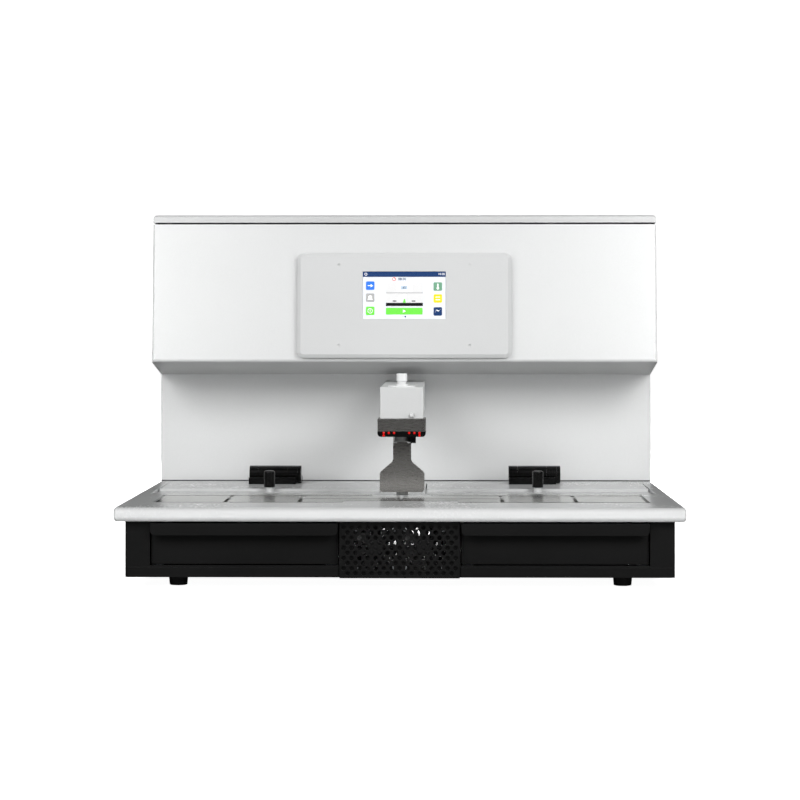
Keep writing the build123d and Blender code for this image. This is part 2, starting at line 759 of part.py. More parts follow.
# Wells: drawn pans that hang from their flanges, each with a heater mat beneath
well_floor = well_ledge_z - WELL_DROP
flange_top = well_ledge_z + WELL_FLANGE
for side, hand in HANDS:
    pan_xs = across(
        side, TONGUE_HALF + WELL_LEDGE + WELL_CLEARANCE, well_outer - WELL_LEDGE - WELL_CLEARANCE
    )
    pan_depths = (
        WELL_FRONT + WELL_LEDGE + WELL_CLEARANCE,
        well_rear - WELL_LEDGE - WELL_CLEARANCE,
    )
    with BuildPart() as well:
        block(pan_xs, pan_depths, (well_floor, flange_top))
        fillet(well.edges().filter_by(Axis.Z), WELL_CORNER)
        fillet(well.edges().group_by(Axis.Z)[0], WELL_CORNER / 2)
        block(
            across(side, TONGUE_HALF + WELL_CLEARANCE, well_outer - WELL_CLEARANCE),
            (WELL_FRONT + WELL_CLEARANCE, well_rear - WELL_CLEARANCE),
            (well_ledge_z, flange_top),
        )
        inner_width = pan_xs[1] - pan_xs[0] - 2 * WELL_SHEET
        inner_length = pan_depths[1] - pan_depths[0] - 2 * WELL_SHEET
        pan_middle = ((pan_xs[0] + pan_xs[1]) / 2, y_at((pan_depths[0] + pan_depths[1]) / 2))
        with BuildSketch(Plane.XY.offset(well_floor + WELL_SHEET)):
            with Locations(pan_middle):
                RectangleRounded(inner_width, inner_length, WELL_CORNER - WELL_SHEET)
        extrude(amount=flange_top - well_floor, mode=Mode.SUBTRACT)
    well.part.label = f"{hand}_well"
    export_step(well.part, f"parts/{hand}_well.step")

with BuildPart() as well_heaters:
    for side, hand in HANDS:
        block(
            across(side, TONGUE_HALF + MAT_MARGIN, well_outer - MAT_MARGIN),
            (WELL_FRONT + MAT_MARGIN, well_rear - MAT_MARGIN),
            (well_floor - MAT_THICKNESS, well_floor),
        )
well_heaters.part.label = "well_heaters"
export_step(well_heaters.part, "parts/well_heaters.step")

# Well lids: folded sheet, the front part set down a step, with a welded stud for the knob
well_x = TONGUE_HALF + WELL_WIDTH / 2
low_z = worktop_z - LID_STEP
skirt_z = low_z - LID_SHEET
for side, hand in HANDS:
    lid_xs = across(side, TONGUE_HALF + LID_GAP, well_outer - LID_GAP)
    lid_front = WELL_FRONT + LID_GAP
    lid_rear = well_rear - LID_GAP
    knob_centre = (side * well_x, KNOB_AT)
    with BuildPart() as well_lid:
        block(lid_xs, (LID_STEP_AT, lid_rear), (skirt_z, worktop_z))
        block(
            (lid_xs[0] + LID_SHEET, lid_xs[1] - LID_SHEET),
            (LID_STEP_AT + LID_SHEET, lid_rear - LID_SHEET),
            (skirt_z, worktop_z - LID_SHEET),
            Mode.SUBTRACT,
        )
        block(lid_xs, (lid_front, LID_STEP_AT + LID_SHEET), (skirt_z, low_z))
        fillet(well_lid.edges().filter_by(Axis.Z).sort_by(Axis.Y)[:2], 2 * LID_SHEET)
        disc(knob_centre, (low_z, low_z + STUD_HEIGHT), STUD_RADIUS)
        stud_top = low_z + STUD_HEIGHT + STUD_THREAD_LENGTH
        disc(knob_centre, (low_z + STUD_HEIGHT, stud_top), STUD_THREAD_RADIUS)
    well_lid.part.label = f"{hand}_well_lid"
    export_step(well_lid.part, f"parts/{hand}_well_lid.step")

    with BuildPart() as lid_knob:
        knob_z = low_z + STUD_HEIGHT
        disc(knob_centre, (knob_z, knob_z + KNOB_HEIGHT), KNOB_RADIUS)
        fillet(lid_knob.edges().group_by(Axis.Z)[-1], KNOB_ROUND)
        disc(knob_centre, (knob_z, stud_top + WELL_CLEARANCE), STUD_THREAD_RADIUS, Mode.SUBTRACT)
    lid_knob.part.label = f"{hand}_lid_knob"
    export_step(lid_knob.part, f"parts/{hand}_lid_knob.step")

# Barrel hinges: fixed bracket with cheek and centre knuckle, moving leaf with two knuckles
pivot_depth = well_rear + HINGE_BEHIND_WELL
pivot_z = worktop_z + HINGE_LIFT + HINGE_RADIUS
pivot = (pivot_depth, pivot_z)
leaf_near = HINGE_RADIUS + LEAF_CLEARANCE
hinge_low = -HINGE_LENGTH / 2
hinge_high = HINGE_LENGTH / 2
cheek_low = hinge_high - CHEEK_WIDTH
leaf_high = cheek_low - CHEEK_GAP
bracket_foot = (
    (pivot_depth, worktop_z),
    (pivot_depth + HINGE_FOOT_REACH, worktop_z),
    (pivot_depth + HINGE_FOOT_REACH, worktop_z + HINGE_FOOT_HEIGHT),
    (pivot_depth + HINGE_RADIUS, worktop_z + 2 * HINGE_FOOT_HEIGHT),
    (pivot_depth, worktop_z + 2 * HINGE_FOOT_HEIGHT),
)
fixed_low = hinge_low + KNUCKLE_WIDTH + KNUCKLE_GAP
fixed_high = leaf_high - KNUCKLE_WIDTH - KNUCKLE_GAP
with BuildPart() as hinge_brackets:
    for side, hand in HANDS:
        middle = side * well_x
        for low, high in ((fixed_low, fixed_high), (cheek_low, hinge_high)):
            xs = (middle + low, middle + high)
            ring(xs, pivot, HINGE_RADIUS)
            side_view(xs, bracket_foot)
            ring(xs, pivot, HINGE_PIN_RADIUS + HINGE_PIN_CLEARANCE, Mode.SUBTRACT)
        block(
            (middle + fixed_low, middle + hinge_high),
            (pivot_depth + HINGE_RADIUS + LEAF_CLEARANCE, pivot_depth + HINGE_FOOT_REACH),
            (worktop_z, worktop_z + HINGE_FOOT_HEIGHT),
        )
hinge_brackets.part.label = "hinge_brackets"
export_step(hinge_brackets.part, "parts/hinge_brackets.step")

for side, hand in HANDS:
    middle = side * well_x
    arm_depths = (pivot_depth - leaf_near, pivot_depth - HINGE_BEHIND_WELL - LID_GAP)
    leaf_heights = (worktop_z, worktop_z + LEAF_HEIGHT)
    with BuildPart() as hinge_knuckle:
        block(
            (middle + hinge_low, middle + leaf_high),
            (pivot_depth - LEAF_REACH, pivot_depth - leaf_near),
            leaf_heights,
        )
        fillet(hinge_knuckle.edges().filter_by(Axis.X).sort_by(Axis.Y)[:2].sort_by(Axis.Z)[-1], 2)
        for low, high in (
            (hinge_low, hinge_low + KNUCKLE_WIDTH),
            (leaf_high - KNUCKLE_WIDTH, leaf_high),
        ):
            barrel_high = cheek_low - KNUCKLE_GAP if high == leaf_high else high
            barrel_xs = (middle + low, middle + barrel_high)
            ring(barrel_xs, pivot, HINGE_RADIUS)
            block((middle + low, middle + high), arm_depths, leaf_heights)
            ring(barrel_xs, pivot, HINGE_PIN_RADIUS + HINGE_PIN_CLEARANCE, Mode.SUBTRACT)
    hinge_knuckle.part.label = f"{hand}_hinge_knuckle"
    export_step(hinge_knuckle.part, f"parts/{hand}_hinge_knuckle.step")

with BuildPart() as hinge_pins:
    for side, hand in HANDS:
        middle = side * well_x
        ring((middle + hinge_low, middle + hinge_high), pivot, HINGE_PIN_RADIUS)
hinge_pins.part.label = "hinge_pins"
export_step(hinge_pins.part, "parts/hinge_pins.step")

# Cabinet shell: one folded section from rear wall over brow to leaning face, with two sides
arm_z = worktop_z + ARM_LIFT
arm_top = arm_z + ARM_HEIGHT
back_outer = DEPTH - BACK_RECESS
back_inner = back_outer - BACK_PANEL
beyond = 50.0
panel_z = brow_z + PANEL_ABOVE_BROW
panel_depth = BROW_DEPTH + PANEL_ABOVE_BROW * face_slope
face_plane = Plane(
    origin=(0, y_at(panel_depth), panel_z),
    x_dir=(1, 0, 0),
    z_dir=(0, -cos(radians(FACE_LEAN)), sin(radians(FACE_LEAN))),
)
with BuildPart() as cabinet_shell:
    side_view(
        (-half_width, half_width),
        (
            (WALL_DEPTH, worktop_z),
            (WALL_DEPTH, wall_top),
            (BROW_DEPTH, brow_z),
            (face_top_depth, cabinet_top),
            (DEPTH, cabinet_top),
            (DEPTH, worktop_z),
        ),
    )
    on_sides = cabinet_shell.faces().filter_by(Axis.X).edges().sort_by(Axis.Y)[:2]
    brow = cabinet_shell.edges().filter_by(Axis.X).sort_by(Axis.Y)[0]
    fillet([*on_sides, brow], CABINET_ROUND)
    with BuildSketch(Plane.YZ.offset(-half_width + CABINET_SHEET)):
        with BuildLine():
            Polyline(
                (y_at(WALL_DEPTH), worktop_z - beyond),
                (y_at(WALL_DEPTH), wall_top),
                (y_at(BROW_DEPTH), brow_z),
                (y_at(face_top_depth + beyond * face_slope), cabinet_top + beyond),
                (y_at(DEPTH + beyond), cabinet_top + beyond),
                (y_at(DEPTH + beyond), worktop_z - beyond),
                close=True,
            )
        make_face()
        offset(amount=-CABINET_SHEET, kind=Kind.INTERSECTION, mode=Mode.REPLACE)
    extrude(amount=WIDTH - 2 * CABINET_SHEET, mode=Mode.SUBTRACT)
    block(
        (-ARM_WIDTH / 2 - ARM_CLEARANCE, ARM_WIDTH / 2 + ARM_CLEARANCE),
        (WALL_DEPTH, WALL_DEPTH + CABINET_SHEET),
        (arm_z - ARM_CLEARANCE, arm_top + ARM_CLEARANCE),
        Mode.SUBTRACT,
    )
    with BuildSketch(face_plane):
        with Locations((0, SCREEN_RAISE)):
            Rectangle(SCREEN_WIDTH + 3 * SCREEN_BODY_MARGIN, SCREEN_HEIGHT + 3 * SCREEN_BODY_MARGIN)
    extrude(amount=-2 * CABINET_SHEET, mode=Mode.SUBTRACT)
cabinet_shell.part.label = "cabinet_shell"
export_step(cabinet_shell.part, "parts/cabinet_shell.step")

# Back panel, let in between the cabinet's sides, with louvres and the power entry's hole
with BuildPart() as back_panel:
    block(
        (-half_width + CABINET_SHEET, half_width - CABINET_SHEET),
        (back_inner, back_outer),
        (worktop_z, cabinet_top),
    )
    with BuildSketch(facing(back_inner)):
        with Locations((-LOUVRE_OFFSET, LOUVRE_CENTRE), (LOUVRE_OFFSET, LOUVRE_CENTRE)):
            with GridLocations(1, LOUVRE_PITCH, 1, LOUVRES):
                SlotOverall(LOUVRE_LENGTH, LOUVRE_HEIGHT)
        with Locations((entry_x, ENTRY_Z)):
            Rectangle(ENTRY_BODY_WIDTH + BACK_PANEL / 3, ENTRY_BODY_HEIGHT + BACK_PANEL / 3)
    extrude(amount=-BACK_PANEL, mode=Mode.SUBTRACT)
back_panel.part.label = "back_panel"
export_step(back_panel.part, "parts/back_panel.step")

# Shelf that carries the tank, and the deep-drawn tank itself
shelf_top = cabinet_top - SHELF_DROP
shelf_z = shelf_top - SHELF_THICKNESS
tank_floor = shelf_top - TANK_HEIGHT
tank_at = BROW_DEPTH + TANK_BEHIND_BROW
outlet_at = tank_at + OUTLET_IN_TANK
tank_middle = (0, y_at(tank_at + TANK_LENGTH / 2))
shelf_front = BROW_DEPTH + (shelf_top - brow_z) * face_slope + 1.5 * CABINET_SHEET
with BuildPart() as tank_shelf:
    block(
        (-half_width + CABINET_SHEET, half_width - CABINET_SHEET),
        (shelf_front, back_inner),
        (shelf_z, shelf_top),
    )
    with BuildSketch(Plane.XY.offset(shelf_z)):
        with Locations(tank_middle):
            RectangleRounded(
                TANK_WIDTH + 2 * TANK_CLEARANCE, TANK_LENGTH + 2 * TANK_CLEARANCE, TANK_CORNER
            )
    extrude(amount=SHELF_THICKNESS, mode=Mode.SUBTRACT)
tank_shelf.part.label = "tank_shelf"
export_step(tank_shelf.part, "parts/tank_shelf.step")

with BuildPart() as tank_inside:
    with BuildSketch(Plane.XY.offset(tank_floor + TANK_SHEET)):
        with Locations(tank_middle):
            RectangleRounded(
                TANK_WIDTH - 2 * TANK_SHEET, TANK_LENGTH - 2 * TANK_SHEET, TANK_CORNER - TANK_SHEET
            )
    extrude(amount=TANK_HEIGHT)
    fillet(tank_inside.edges().group_by(Axis.Z)[0], TANK_BOTTOM_ROUND - TANK_SHEET)

with BuildPart() as paraffin_tank:
    with BuildSketch(Plane.XY.offset(tank_floor)):
        with Locations(tank_middle):
            RectangleRounded(TANK_WIDTH, TANK_LENGTH, TANK_CORNER)
    extrude(amount=TANK_HEIGHT + TANK_SHEET)
    fillet(paraffin_tank.edges().group_by(Axis.Z)[0], TANK_BOTTOM_ROUND)
    with BuildSketch(Plane.XY.offset(shelf_top)):
        with Locations(tank_middle):
            RectangleRounded(TANK_WIDTH + 2 * TANK_FLANGE, TANK_LENGTH + 2 * TANK_FLANGE, TANK_CORNER)
    extrude(amount=TANK_SHEET)
    add(tank_inside.part, mode=Mode.SUBTRACT)
    disc((0, outlet_at), (tank_floor - OUTLET_LENGTH, tank_floor + TANK_SHEET), OUTLET_RADIUS)
    outlet_heights = (tank_floor - OUTLET_LENGTH, tank_floor + TANK_SHEET)
    disc((0, outlet_at), outlet_heights, PIPE_BORE, Mode.SUBTRACT)
paraffin_tank.part.label = "paraffin_tank"
export_step(paraffin_tank.part, "parts/paraffin_tank.step")

with BuildPart() as tank_heater:
    mat_gap = HEATER_CLEARANCE
    mat_out = HEATER_CLEARANCE + TANK_HEATER_THICKNESS
    with BuildSketch(Plane.XY.offset(tank_floor + TANK_HEATER_ABOVE)):
        with Locations(tank_middle):
            RectangleRounded(TANK_WIDTH + 2 * mat_out, TANK_LENGTH + 2 * mat_out, TANK_CORNER + mat_out)
            RectangleRounded(
                TANK_WIDTH + 2 * mat_gap,
                TANK_LENGTH + 2 * mat_gap,
                TANK_CORNER + mat_gap,
                mode=Mode.SUBTRACT,
            )
    extrude(amount=TANK_HEATER_HEIGHT)
tank_heater.part.label = "tank_heater"
export_step(tank_heater.part, "parts/tank_heater.step")

# Outlet valve and the heated pipe that runs forward through the arm
valve_top = tank_floor - OUTLET_LENGTH
valve_z = valve_top - VALVE_HEIGHT
pipe_z = arm_z + ARM_HEIGHT / 2
nozzle_top = arm_z + ARM_SHEET + TUBE_REACH
with BuildPart() as outlet_valve:
    block(
        (-VALVE_SIZE / 2, VALVE_SIZE / 2),
        (outlet_at - VALVE_SIZE / 2, outlet_at + VALVE_SIZE / 2),
        (valve_z, valve_top),
    )
    disc((0, outlet_at), (valve_z, valve_top), PIPE_BORE, Mode.SUBTRACT)
    chamfer(outlet_valve.edges().filter_by(Axis.Y).group_by(Axis.Z)[0], 2)
    with BuildSketch(facing(outlet_at + VALVE_SIZE / 2)):
        with Locations((0, valve_z + VALVE_HEIGHT / 2)):
            Circle(COIL_RADIUS)
    extrude(amount=-COIL_LENGTH)
    fillet(outlet_valve.edges().sort_by(Axis.Y)[-1], 2)
outlet_valve.part.label = "outlet_valve"
export_step(outlet_valve.part, "parts/outlet_valve.step")

pipe_points = (
    (0, y_at(outlet_at), valve_z),
    (0, y_at(outlet_at), pipe_z),
    (0, y_at(NOZZLE_AT), pipe_z),
    (0, y_at(NOZZLE_AT), nozzle_top),
)
pipe_bend = min(PIPE_BEND, (pipe_z - nozzle_top) * 0.9)
with BuildPart() as delivery_pipe:
    with BuildLine() as pipe_path:
        FilletPolyline(*pipe_points, radius=[pipe_bend, pipe_bend])
    with BuildSketch(Plane.XY.offset(valve_z)):
        with Locations((0, y_at(outlet_at))):
            Circle(PIPE_RADIUS)
            Circle(PIPE_BORE, mode=Mode.SUBTRACT)
    sweep(path=pipe_path.line)
delivery_pipe.part.label = "delivery_pipe"
export_step(delivery_pipe.part, "parts/delivery_pipe.step")

# Top lid, its fixed strip behind, and the two leaf hinges between them
cover_front = DEPTH - COVER_DEPTH
lid_back = cover_front - COVER_GAP
top_axis = (cover_front - COVER_GAP / 2, lid_top + TOP_HINGE_RISE)
notch_radius = TOP_KNUCKLE_RADIUS + TOP_NOTCH_CLEARANCE
with BuildPart() as top_lid:
    block((-half_width, half_width), (face_top_depth, lid_back), (lid_z, lid_top))
    top_edges = top_lid.edges().filter_by(Axis.Y).group_by(Axis.Z)[-1]
    front_edge = top_lid.edges().filter_by(Axis.X).group_by(Axis.Z)[-1].sort_by(Axis.Y)[0]
    fillet([*top_edges, front_edge], TOP_ROUND)
    block(
        (-half_width + TOP_SKIN, half_width - TOP_SKIN),
        (face_top_depth + TOP_SKIN, lid_back - TOP_SKIN),
        (lid_z, lid_top - TOP_SKIN),
        Mode.SUBTRACT,
    )
    for side, hand in HANDS:
        hinge_xs = across(
            side, TOP_HINGE_X - TOP_HINGE_WIDTH / 2 - 1, TOP_HINGE_X + TOP_HINGE_WIDTH / 2 + 1
        )
        ring(hinge_xs, top_axis, notch_radius, Mode.SUBTRACT)
top_lid.part.label = "top_lid"
export_step(top_lid.part, "parts/top_lid.step")

with BuildPart() as top_rear_cover:
    block((-half_width, half_width), (cover_front, DEPTH), (cabinet_top, lid_top))
    cover_edges = top_rear_cover.edges().filter_by(Axis.Y).group_by(Axis.Z)[-1]
    rear_edge = top_rear_cover.edges().filter_by(Axis.X).group_by(Axis.Z)[-1].sort_by(Axis.Y)[-1]
    fillet([*cover_edges, rear_edge], TOP_ROUND)
    block(
        (-half_width + 2 * TOP_SKIN, half_width - 2 * TOP_SKIN),
        (cover_front + TOP_SKIN, DEPTH - 2 * BACK_RECESS),
        (cabinet_top, lid_top - TOP_SKIN),
        Mode.SUBTRACT,
    )
    for side, hand in HANDS:
        hinge_xs = across(
            side, TOP_HINGE_X - TOP_HINGE_WIDTH / 2 - 1, TOP_HINGE_X + TOP_HINGE_WIDTH / 2 + 1
        )
        ring(hinge_xs, top_axis, notch_radius, Mode.SUBTRACT)
top_rear_cover.part.label = "top_rear_cover"
export_step(top_rear_cover.part, "parts/top_rear_cover.step")


def top_leaf(middle, direction, knuckles):
    """One leaf of a top hinge; direction -1 lies on the lid and +1 on the fixed strip."""
    leaf_heights = (lid_top, lid_top + TOP_LEAF)
    near = top_axis[0] + direction * (notch_radius + TOP_NOTCH_CLEARANCE)
    far = top_axis[0] + direction * TOP_LEAF_REACH
    width = (middle - TOP_HINGE_WIDTH / 2, middle + TOP_HINGE_WIDTH / 2)
    block(width, (min(near, far), max(near, far)), leaf_heights)
    for low, high in knuckles:
        xs = (middle + low, middle + high)
        ring(xs, top_axis, TOP_KNUCKLE_RADIUS)
        neck = (min(near, top_axis[0]), max(near, top_axis[0]))
        block(xs, neck, leaf_heights)
        ring(xs, top_axis, TOP_PIN_RADIUS + TOP_PIN_CLEARANCE, Mode.SUBTRACT)


hinge_end = TOP_HINGE_WIDTH / 2
knuckle_end = TOP_KNUCKLE / 2
outer_knuckles = ((-hinge_end, -knuckle_end - KNUCKLE_GAP), (knuckle_end + KNUCKLE_GAP, hinge_end))
with BuildPart() as lid_hinge_front_leaves:
    for side, hand in HANDS:
        top_leaf(side * TOP_HINGE_X, -1, ((-knuckle_end, knuckle_end),))
lid_hinge_front_leaves.part.label = "lid_hinge_front_leaves"
export_step(lid_hinge_front_leaves.part, "parts/lid_hinge_front_leaves.step")

with BuildPart() as lid_hinge_rear_leaves:
    for side, hand in HANDS:
        top_leaf(side * TOP_HINGE_X, 1, outer_knuckles)
lid_hinge_rear_leaves.part.label = "lid_hinge_rear_leaves"
export_step(lid_hinge_rear_leaves.part, "parts/lid_hinge_rear_leaves.step")

with BuildPart() as lid_hinge_pins:
    for side, hand in HANDS:
        middle = side * TOP_HINGE_X
        ring((middle - hinge_end, middle + hinge_end), top_axis, TOP_PIN_RADIUS)
lid_hinge_pins.part.label = "lid_hinge_pins"
export_step(lid_hinge_pins.part, "parts/lid_hinge_pins.step")

# Rubber bumpers between the cabinet's sides and the top lid
with BuildPart() as lid_bumpers:
    for side, hand in HANDS:
        for start in (face_top_depth + BUMPER_LENGTH, lid_back - 2 * BUMPER_LENGTH):
            block(
                across(side, half_width - CABINET_SHEET, half_width),
                (start, start + BUMPER_LENGTH),
                (cabinet_top, lid_z),
            )
lid_bumpers.part.label = "lid_bumpers"
export_step(lid_bumpers.part, "parts/lid_bumpers.step")

# Control panel: bevelled frame on the leaning face, and the display let into it
with BuildPart() as panel_frame:
    with BuildSketch(face_plane):
        RectangleRounded(PANEL_WIDTH, PANEL_HEIGHT, PANEL_CORNER)
    extrude(amount=PANEL_THICKNESS)
    outer_face = panel_frame.faces().sort_by(Axis.Y)[0]
    chamfer(outer_face.edges(), length=PANEL_BEVEL_DEPTH, length2=PANEL_BEVEL, reference=outer_face)
    with BuildSketch(face_plane):
        with Locations((0, SCREEN_RAISE)):
            Rectangle(SCREEN_WIDTH, SCREEN_HEIGHT)
    extrude(amount=PANEL_THICKNESS, mode=Mode.SUBTRACT)
    with BuildSketch(face_plane.offset(PANEL_THICKNESS - DIMPLE_DEPTH)):
        with GridLocations(2 * DIMPLE_X, 2 * DIMPLE_Z, 2, 2):
            Circle(DIMPLE_RADIUS)
    extrude(amount=DIMPLE_DEPTH, mode=Mode.SUBTRACT)
panel_frame.part.label = "panel_frame"
export_step(panel_frame.part, "parts/panel_frame.step")

with BuildPart() as display:
    with BuildSketch(face_plane):
        with Locations((0, SCREEN_RAISE)):
            Rectangle(SCREEN_WIDTH - 2 * SCREEN_CLEARANCE, SCREEN_HEIGHT - 2 * SCREEN_CLEARANCE)
    extrude(amount=PANEL_THICKNESS - SCREEN_RECESS)
    with BuildSketch(face_plane):
        with Locations((0, SCREEN_RAISE)):
            Rectangle(SCREEN_WIDTH + 2 * SCREEN_BODY_MARGIN, SCREEN_HEIGHT + 2 * SCREEN_BODY_MARGIN)
    extrude(amount=-SCREEN_BODY_DEPTH)
display.part.label = "display"
export_step(display.part, "parts/display.step")

# Dispenser arm: a box section through the rear wall, held by a flange inside it
arm_half = ARM_WIDTH / 2
flange_front = WALL_DEPTH + CABINET_SHEET
button_z = arm_z + BUTTON_LIFT
with BuildPart() as arm_housing:
    block((-arm_half, arm_half), (ARM_FRONT, flange_front + ARM_SHEET), (arm_z, arm_top))
    front_edges = arm_housing.faces().sort_by(Axis.Y)[0].edges()
    long_edges = arm_housing.edges().filter_by(Axis.Y)
    fillet([*front_edges, *long_edges], ARM_EDGE / 2)
    block(
        (-arm_half - ARM_FLANGE, arm_half + ARM_FLANGE),
        (flange_front, flange_front + ARM_SHEET),
        (arm_z - ARM_FLANGE, min(arm_top + ARM_FLANGE, wall_top - ARM_SHEET)),
    )
    block(
        (-arm_half + ARM_SHEET, arm_half - ARM_SHEET),
        (ARM_FRONT + ARM_SHEET, flange_front + ARM_SHEET),
        (arm_z + ARM_SHEET, arm_top - ARM_SHEET),
        Mode.SUBTRACT,
    )
    nozzle_centre = (0, NOZZLE_AT)
    disc(nozzle_centre, (arm_z, arm_z + ARM_SHEET), TUBE_RADIUS + TUBE_CLEARANCE, Mode.SUBTRACT)
    disc(nozzle_centre, (arm_top - ARM_SHEET, arm_top), STEM_RADIUS + TUBE_CLEARANCE, Mode.SUBTRACT)
    with BuildSketch(facing(ARM_FRONT)):
        with Locations((BUTTON_X, button_z)):
            Circle(BUTTON_RADIUS + BUTTON_CLEARANCE)
    extrude(amount=-(ARM_SHEET + BUTTON_ROOM), mode=Mode.SUBTRACT)
arm_housing.part.label = "arm_housing"
export_step(arm_housing.part, "parts/arm_housing.step")

# Flow knob on its flange, and the press button on the arm's front
flange_z = arm_top + FLANGE_THICKNESS
boss_z = flange_z + BOSS_HEIGHT
with BuildPart() as knob_flange:
    disc(nozzle_centre, (arm_top, flange_z), FLANGE_RADIUS)
    disc(nozzle_centre, (flange_z, boss_z), BOSS_RADIUS)
    disc(nozzle_centre, (arm_top, boss_z), STEM_RADIUS + STEM_CLEARANCE, Mode.SUBTRACT)
knob_flange.part.label = "knob_flange"
export_step(knob_flange.part, "parts/knob_flange.step")

knob_base = boss_z + NECK_HEIGHT
with BuildPart() as flow_knob:
    disc(nozzle_centre, (knob_base, knob_base + FLOW_KNOB_HEIGHT), FLOW_KNOB_RADIUS)
    fillet(flow_knob.edges(), FLOW_KNOB_ROUND)
    disc(nozzle_centre, (boss_z + SLIDE_GAP, knob_base), NECK_RADIUS)
    disc(nozzle_centre, (arm_top - STEM_LENGTH, boss_z + SLIDE_GAP), STEM_RADIUS)
flow_knob.part.label = "flow_knob"
export_step(flow_knob.part, "parts/flow_knob.step")

with BuildPart() as lamp_button:
    with BuildSketch(facing(ARM_FRONT - BUTTON_OUT)):
        with Locations((BUTTON_X, button_z)):
            Circle(BUTTON_RADIUS)
    extrude(amount=-(BUTTON_OUT + ARM_SHEET))
    fillet(lamp_button.edges().sort_by(Axis.Y)[0], BUTTON_OUT * 0.8)
    with BuildSketch(facing(ARM_FRONT + ARM_SHEET)):
        with Locations((BUTTON_X, button_z)):
            Rectangle(2 * BUTTON_RADIUS + 2 * BUTTON_FLANGE, BUTTON_RADIUS)
    extrude(amount=-BUTTON_TAIL)
lamp_button.part.label = "lamp_button"
export_step(lamp_button.part, "parts/lamp_button.step")

# Lamp: a grey bracket under the arm and a black housing with eight small lamps in its front
lamp_front = ARM_FRONT - LAMP_PROUD
lamp_depths = (lamp_front, lamp_front + LAMP_LENGTH)
lamp_half = LAMP_WIDTH / 2
bracket_z = arm_z - BRACKET_HEIGHT
lamp_z = bracket_z - LAMP_HEIGHT
with BuildPart() as lamp_bracket:
    block((-lamp_half, lamp_half), lamp_depths, (bracket_z, arm_z))
    fillet(lamp_bracket.edges().filter_by(Axis.Z), BRACKET_CORNER)
    disc(nozzle_centre, (bracket_z, arm_z), TUBE_RADIUS + TUBE_CLEARANCE, Mode.SUBTRACT)
lamp_bracket.part.label = "lamp_bracket"
export_step(lamp_bracket.part, "parts/lamp_bracket.step")

pin_depth = PADDLE_AT + PADDLE_BARREL
pin_z = lamp_z - PADDLE_PIN_DROP
lug_outer = NECK_HALF - LUG_INSET
lug_inner = lug_outer - LUG_WIDTH
tongue_half = lug_inner - LUG_GAP
lug_outline = (
    (pin_depth - LUG_LENGTH / 2, lamp_z),
    (pin_depth - PADDLE_BARREL, pin_z - PADDLE_BARREL),
    (pin_depth + PADDLE_BARREL, pin_z - PADDLE_BARREL),
    (pin_depth + LUG_LENGTH / 2, lamp_z),
)
led_spots = [(side * x, lamp_z + up) for side in (-1, 1) for x, up in LED_SPOTS]
with BuildPart() as lamp_housing:
    with BuildSketch(facing(lamp_front)):
        with Locations((0, lamp_z + LAMP_HEIGHT / 2)):
            lamp_face = Rectangle(LAMP_WIDTH, LAMP_HEIGHT)
        fillet(lamp_face.vertices().group_by(Axis.Y)[0], LAMP_CORNER)
    extrude(amount=-LAMP_LENGTH)
    with BuildSketch(facing(lamp_front)):
        with Locations(*led_spots):
            Circle(LED_RADIUS + LED_CLEARANCE)
    extrude(amount=-LED_SEAT, mode=Mode.SUBTRACT)
    disc(nozzle_centre, (lamp_z, bracket_z), TUBE_RADIUS + TUBE_CLEARANCE, Mode.SUBTRACT)
    for side, hand in HANDS:
        side_view(across(side, lug_inner, lug_outer), lug_outline)
    lug_bore = PADDLE_PIN_RADIUS + PADDLE_PIN_CLEARANCE
    ring((-lug_outer, lug_outer), (pin_depth, pin_z), lug_bore, Mode.SUBTRACT)
lamp_housing.part.label = "lamp_housing"
export_step(lamp_housing.part, "parts/lamp_housing.step")

with BuildPart() as lamp_leds:
    with BuildSketch(facing(lamp_front - LED_PROUD)):
        with Locations(*led_spots):
            Circle(LED_RADIUS)
    extrude(amount=-(LED_PROUD + LED_SEAT))
    fillet(lamp_leds.edges().group_by(Axis.Y)[0], LED_PROUD * 0.8)
lamp_leds.part.label = "lamp_leds"
export_step(lamp_leds.part, "parts/lamp_leds.step")

# Nozzle: a tube down through the lamp, ending in its collar
collar_z = lamp_z - COLLAR_HEIGHT - SLIDE_GAP
with BuildPart() as nozzle:
    disc(nozzle_centre, (collar_z, nozzle_top), TUBE_RADIUS)
    disc(nozzle_centre, (collar_z, collar_z + COLLAR_HEIGHT), COLLAR_RADIUS)
    chamfer(nozzle.edges().group_by(Axis.Z)[0], SLIDE_GAP)
    disc(nozzle_centre, (collar_z, nozzle_top), TUBE_BORE, Mode.SUBTRACT)
nozzle.part.label = "nozzle"
export_step(nozzle.part, "parts/nozzle.step")

